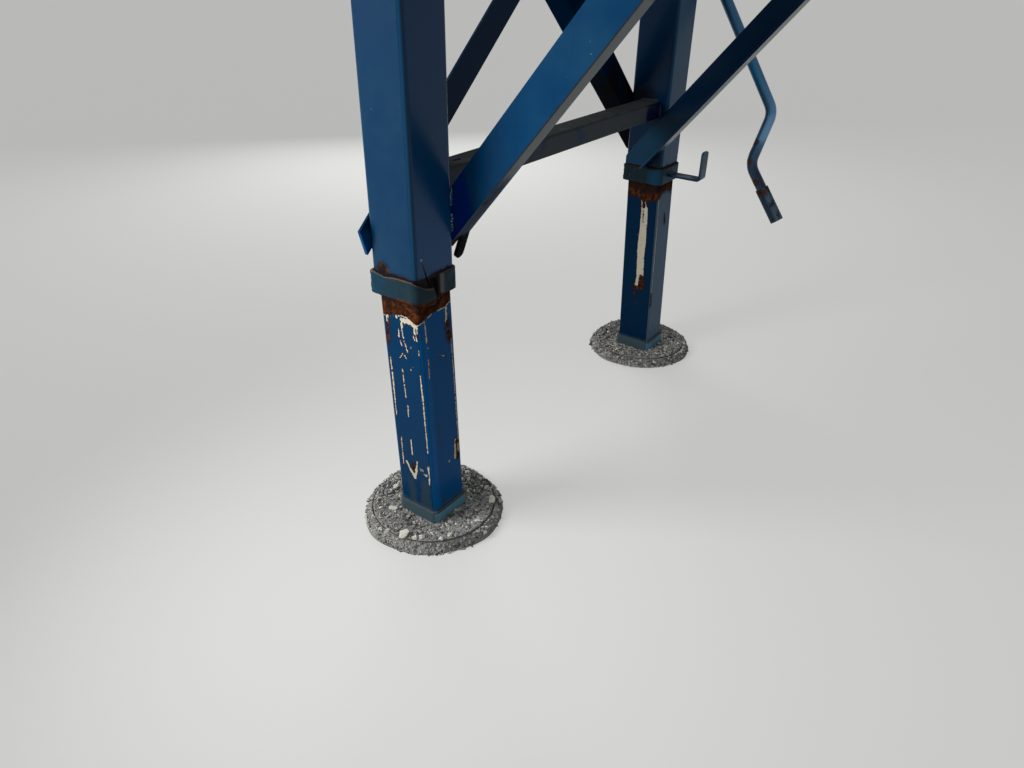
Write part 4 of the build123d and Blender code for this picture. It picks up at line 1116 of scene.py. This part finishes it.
# Drive shafts: bare steel stubs out of the legs and the tube that couples them, bolted across, all
# browned with old grease and rust.
SHAFT_STEEL = (0.070, 0.050, 0.038)
GREASE_BROWN = (0.025, 0.018, 0.014)
SHAFT_PIECES = (
    "stub_shaft_right", "stub_shaft_left", "cross_tube", "coupling_bolts", "input_shaft", "clevis_pin",
)
skin = Skin("greasy_shaft", SHAFT_STEEL, 0.5, 0.5)
skin.lay(skin.blotch.rise(0.35, 0.6) * 0.8, GREASE_BROWN, 0.35)
skin.rust(skin.cloud(0.02, 4.0).rise(0.48, 0.6) * 0.8)
shaft_finish = skin.finished(0.4)
for node in SHAFT_PIECES:
    wear(node, shaft_finish)

# Welds: beads laid by hand along every joint and painted over, rippled where the pool froze in
# steps. They hold the braces, the member, the wing plates, the caps and the shoes to the legs, and
# the hook to its collar.
BEAD_STEP = 0.0024
BEAD_SIDES = 8
BEAD_RIPPLE = 0.0052           # length of one ripple
BEAD_LUMPS = 130.0             # lumps to a metre
# Shares of a bead's radius: between its ripples, what a ripple and a lump add to it, and at an open
# end and what each step from there adds
BEAD_VALLEY = 0.82
BEAD_CREST = 0.16
BEAD_LUMP = 0.22
BEAD_START = 0.45
BEAD_FILLS = 0.25
RING_STEPS = 84                # steps of a bead that runs all round a leg
FACE_LINE = TUBE_HALF + 0.0005 # where the beads on an upper leg's faces lie
BEAD_RADIUS = {
    "lid": 0.0030, "plate": 0.0044, "member": 0.0042, "drag": 0.0042, "heel": 0.0040,
    "sway": 0.0046, "apex": 0.0040, "socket": 0.0042, "hook": 0.0036,
}
# Where each kind runs: a line as ahead and inboard of the leg's middle, ends along it, and levels
LID_CORNER = 0.011
LID_LEVEL = TUBE_TOP - 0.0010
PLATE_LINE = (0.0612, 0.0614)
PLATE_RUNS = ((1.226, 1.304), (1.320, 1.397))
MEMBER_LEVELS = (0.876, 0.825)
MEMBER_ENDS = (-0.030, 0.030)
MEMBER_SIDES = (0.0381, -0.0381)
MEMBER_RUN = (0.834, 0.867)
HEEL_LINE = (0.0622, 0.0618)
HEEL_RUNS = ((0.748, 0.790), (0.808, 0.846))
DRAG_ENDS = (-0.045, 0.050)
DRAG_BASE = (0.061, 0.8470)    # ahead and up, a place that the sloping bead runs through
DRAG_SLOPE = 1.2
SWAY_LEVELS = (0.7487 + 0.0932, 0.7487)
SWAY_ENDS = (-0.050, 0.050)
SWAY_SLOPE = 0.880007
APEX_LINE = ((0.088, 1.185), (0.095, 1.186), (0.127, 1.243))
SOCKET_LINE = 0.0588
SOCKET_CORNER = 0.010
SOCKET_TOP = 0.046
SOCKET_BEAD_OVER = 0.0002
HOOK_LINE = 0.0708
HOOK_ENDS = (-0.019, 0.019)
HOOK_LEVELS = (0.6408, 0.6482)
WELD_GLINTS = ((HEEL_LINE[0], -LEG_AT + HEEL_LINE[1], 0.800), 0.055)     # painted highlights on the bead's ripples
WELD_GLINT_PALE = (0.30, 0.38, 0.46)
WELD_MUD_BELOW = (0.060, 0.050)
weld_points, weld_faces = [], []


def bead(path, radius, upward, closed=False):
    """A rippled round bead along a path, with its rings square to it and thin open ends."""
    corners = [Vector(point) for point in path]
    if closed:
        corners.append(corners[0])
    line = []
    for start, end in zip(corners, corners[1:]):
        steps = max(1, round((end - start).length / BEAD_STEP))
        line += [start.lerp(end, step / steps) for step in range(steps)]
    if not closed:
        line.append(corners[-1])
    first = len(weld_points)
    for index, at in enumerate(line):
        before = line[index - 1] if index or closed else at
        after = line[(index + 1) % len(line)] if index + 1 < len(line) or closed else at
        along = (after - before).normalized()
        side = along.cross(Vector(upward)).normalized()
        up = side.cross(along)
        ripple = abs(math.sin(math.pi * index * BEAD_STEP / BEAD_RIPPLE))
        lump = noise.noise(at * BEAD_LUMPS)
        to_end = min(index, len(line) - 1 - index)
        fullness = 1.0 if closed else min(1.0, BEAD_START + BEAD_FILLS * to_end)
        reach = radius * (BEAD_VALLEY + BEAD_CREST * ripple + BEAD_LUMP * lump) * fullness
        for step in range(BEAD_SIDES):
            angle = 2 * math.pi * step / BEAD_SIDES
            weld_points.append(at + (side * math.cos(angle) + up * math.sin(angle)) * reach)
    weld_faces.extend(ring_faces(len(line), BEAD_SIDES, closed, first))


def leg_bead(kind, sign, ends, upward):
    """A straight bead on a leg, between places ahead of its middle, inboard of it, and up."""
    path = [(x, sign * (LEG_AT - inboard), z) for x, inboard, z in ends]
    bead(path, BEAD_RADIUS[kind], upward)


def ring_bead(kind, sign, shift, half, corner, level):
    """A bead all round a leg."""
    lap = way_round(half, corner)
    ring = [round_square(half, corner, lap * step / RING_STEPS) for step in range(RING_STEPS)]
    path = [(shift + at.x, sign * LEG_AT + at.y, level) for at in ring]
    bead(path, BEAD_RADIUS[kind], UP, True)


for sign in (-1, 1):
    outward = (0, sign, 0)
    ring_bead("lid", sign, 0.0, FACE_LINE, LID_CORNER, LID_LEVEL)
    for x in (-PLATE_LINE[0], PLATE_LINE[0]):
        for run in PLATE_RUNS:
            leg_bead("plate", sign, [(x, PLATE_LINE[1], z) for z in run], AHEAD)
    for z in MEMBER_LEVELS:
        leg_bead("member", sign, [(x, FACE_LINE, z) for x in MEMBER_ENDS], outward)
    for x in MEMBER_SIDES:
        leg_bead("member", sign, [(x, FACE_LINE, z) for z in MEMBER_RUN], outward)
    for run in HEEL_RUNS:
        leg_bead("heel", sign, [(*HEEL_LINE, z) for z in run], AHEAD)
    ends = [(x, FACE_LINE, DRAG_BASE[1] + DRAG_SLOPE * (x - DRAG_BASE[0])) for x in DRAG_ENDS]
    leg_bead("drag", sign, ends, outward)
    for level in SWAY_LEVELS:
        ends = [(-FACE_LINE, reach, level + SWAY_SLOPE * reach) for reach in SWAY_ENDS]
        leg_bead("sway", sign, ends, AHEAD)
    bead([(-TUBE_HALF, sign * y, z) for y, z in APEX_LINE], BEAD_RADIUS["apex"], AHEAD)
    shift = (LEAN_HEIGHT - SOCKET_TOP) * math.tan(INNER_LEAN)
    ring_bead("socket", sign, shift, SOCKET_LINE, SOCKET_CORNER, SOCKET_TOP + SOCKET_BEAD_OVER)
for z in HOOK_LEVELS:
    bead([(HOOK_LINE, LEG_AT + y, z) for y in HOOK_ENDS], BEAD_RADIUS["hook"], AHEAD)
skin = blue_paint("weld_blue", chalk=0.5, dusty=0.3, chipped=0.3, shade=0.8, gloss=0.2, seed=81.0)
skin.lay(skin.height.rise(*WELD_MUD_BELOW), DRIED_MUD, 0.75)
# Painted highlights: pale dashes on the bead's ripples by the right brace's heel.
glints = skin.spot(*WELD_GLINTS, 0.3) * skin.cloud(0.005, 8.0, 3.0).rise(0.50, 0.56)
skin.lay(glints, WELD_GLINT_PALE, 0.5)
mesh_piece("weld_beads", weld_points, weld_faces, skin.finished())

# Crank and hook: a bent pipe on a forked yoke, with a loose grip sleeve on its end, and the bent
# flat bar on the left collar that holds it when it is stowed. The pipe carries painted highlights and
# painted shade, with rust at the bends; the sleeve is chipped to brown and black under a painted highlight.
CRANK_LIT_BLUE = (0.012, 0.200, 0.430)
CRANK_HIGHLIGHT = (0.150, 0.400, 0.720)
CRANK_STRONG_HIGHLIGHT = (0.240, 0.540, 0.900)
HOOK_FADED = (0.055, 0.120, 0.160)
# Sides of the pipe and the grip that carry painted highlights and painted shade, and heights where these
# change
HIGHLIGHT_SIDE = (0.85, -0.5, 0.1)
STRONG_HIGHLIGHT_SIDE = (0.7, -0.7, 0.1)
SHADED_SIDE = (-1.0, 0.0, -0.2)
GRIP_HIGHLIGHT_SIDE = (0.75, -0.6, 0.3)
CRANK_LIT_ABOVE = (0.70, 0.84)
HIGHLIGHT_ABOVE = (0.72, 0.80)
LESS_ABOVE = (0.86, 0.96)
LOWER_BEND = (0.745, 0.770)
UPPER_BEND = (0.855, 0.825)
HOOK_FADED_ABOVE = (0.66, 0.70)
CRANK_RUST = (
    ((0.284, 0.730, 0.753), 0.014),
    ((0.272, 0.732, 0.722), 0.011),
    ((0.275, 0.730, 0.690), 0.011),
    ((0.308, 0.730, 0.626), 0.014),
)
GRIP_HIGHLIGHT = (0.110, 0.170, 0.220)
GRIP_DARK = (0.012, 0.034, 0.060)
GRIP_ENDS = (((0.332, 0.745, 0.600), 0.028), ((0.396, 0.745, 0.506), 0.022))
# Painted light and shade: the coat is dimmed as painted shade, a brighter blue goes up the pipe, painted
# highlights lie on the sides that face out, and painted shade on the side away.
skin = blue_paint("crank_blue", chalk=0.4, dusty=0.0, chipped=0.25, shade=0.8, gloss=0.5, seed=61.0)
skin.lay((skin.blotch * 0.1 + skin.height).rise(*CRANK_LIT_ABOVE) * 0.65, CRANK_LIT_BLUE, 0.2)
over_bend = skin.height.rise(*HIGHLIGHT_ABOVE) * (1.0 - 0.65 * skin.height.rise(*LESS_ABOVE))
skin.lay(skin.facing(HIGHLIGHT_SIDE, 0.45, 0.95) * over_bend, CRANK_HIGHLIGHT, 0.25)
between_bends = skin.height.rise(*LOWER_BEND) * skin.height.rise(*UPPER_BEND)
skin.lay(skin.facing(STRONG_HIGHLIGHT_SIDE, 0.2, 0.8) * between_bends * 0.8, CRANK_STRONG_HIGHLIGHT, 0.25)
skin.lay(skin.facing(SHADED_SIDE, -0.1, 0.6) * 0.8, BLUE_DEEP, 0.3)
for place, reach in CRANK_RUST:
    skin.rust(skin.spot(place, reach, 0.8) * 0.9)
crank_finish = skin.finished()
wear("crank_yoke", crank_finish)
wear("crank_arm", crank_finish)
skin = blue_paint("grip_chipped", chalk=0.2, dusty=0.2, chipped=0.6, rough=0.35, seed=65.0)
skin.lay(skin.cloud(0.025, 9.0).rise(0.30, 0.50) * 0.9, GRIP_DARK, 0.5)
# Painted highlight along the grip's side that faces out.
grip_highlight = skin.facing(GRIP_HIGHLIGHT_SIDE, 0.6, 0.95) * skin.cloud(0.02, 6.0, 3.0).rise(0.35, 0.55)
skin.lay(grip_highlight * 0.85, GRIP_HIGHLIGHT, 0.4)
for place, reach in GRIP_ENDS:
    skin.rust(skin.spot(place, reach, 0.6) * 0.9)
skin.lay(skin.cloud(0.014, 12.0).rise(0.60, 0.64), RUST_DARK, 0.9, -0.2)
skin.lay(skin.cloud(0.012, 15.0).rise(0.68, 0.71), FLAKE_PALE, 0.7)
wear("crank_grip", skin.finished())
skin = blue_paint("hook_blue", chalk=0.2, dusty=0.1, chipped=0.3, gloss=0.2, seed=71.0)
skin.lay(skin.height.rise(*HOOK_FADED_ABOVE) * 0.7, HOOK_FADED, 0.5)
wear("crank_hook", skin.finished())
ease_edges("crank_hook", PLATE_EASED)

# Studio: a pale floor without an edge in view, open light that is stronger at the sides than
# overhead, and two broad soft lamps, one outboard of the right leg and one behind the left.
FLOOR_COLOUR = (0.43, 0.43, 0.41)
FLOOR_GLOW = (0.38, 0.38, 0.37)     # what a look along the floor sees beside the light that falls on it
FLOOR_REACH = 40.0
SKY_SIDE = 0.40
SKY_TOP = 0.20
SKY_COLOUR = (0.93, 0.97, 1.0)
LAMPS = (
    # name, place, aim, watts, size, spread in degrees
    ("key", (-0.9, -1.75, 1.30), (0.12, -0.95, 0.80), 11.0, 0.9, 90.0),
    ("back", (-2.6, 2.3, 1.9), (0.0, 0.0, 0.75), 52.0, 2.4, 180.0),
)

mesh = bpy.data.meshes.new("floor")
corners = [(x * FLOOR_REACH, y * FLOOR_REACH, 0.0) for x, y in ((-1, -1), (1, -1), (1, 1), (-1, 1))]
mesh.from_pydata(corners, [], [(0, 1, 2, 3)])
placed("floor", mesh)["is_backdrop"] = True
skin = Skin("floor_pale", FLOOR_COLOUR, 0.9, 0.1)
mesh.materials.append(skin.finished())
rays = skin.place.node("LightPath", {}, {}, "Is Camera Ray")
glossy = skin.place.node("LightPath", {}, {}, "Is Glossy Ray")
glow = rays.math("MAXIMUM", rays, glossy).over((0.0, 0.0, 0.0), FLOOR_GLOW)
feed(skin.shader.inputs["Emission Color"], glow)
feed(skin.shader.inputs["Emission Strength"], 1.0)

world = bpy.data.worlds.new("sky")
bpy.context.scene.world = world
world.use_nodes = True
back = world.node_tree.nodes["Background"]
sky = Value(world.node_tree.nodes.new("ShaderNodeTexCoord").outputs["Generated"])
upward = sky.node("SeparateXYZ", {}, {0: sky}, 2)
feed(back.inputs["Strength"], SKY_SIDE + (SKY_TOP - SKY_SIDE) * upward.rise(0.0, 0.9))
feed(back.inputs["Color"], SKY_COLOUR)

for name, place, aim, watts, size, spread in LAMPS:
    lamp = bpy.data.lights.new(name, "AREA")
    lamp.energy = watts
    lamp.size = size
    lamp.spread = math.radians(spread)
    stand = placed(name, lamp)
    stand.location = place
    stand.rotation_euler = (Vector(aim) - Vector(place)).to_track_quat("-Z", "Y").to_euler()
    stand.visible_camera = False
    stand.visible_glossy = False

size = {"cad": [list(corner) for corner in cad_box], "visual": [list(corner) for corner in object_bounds()]}
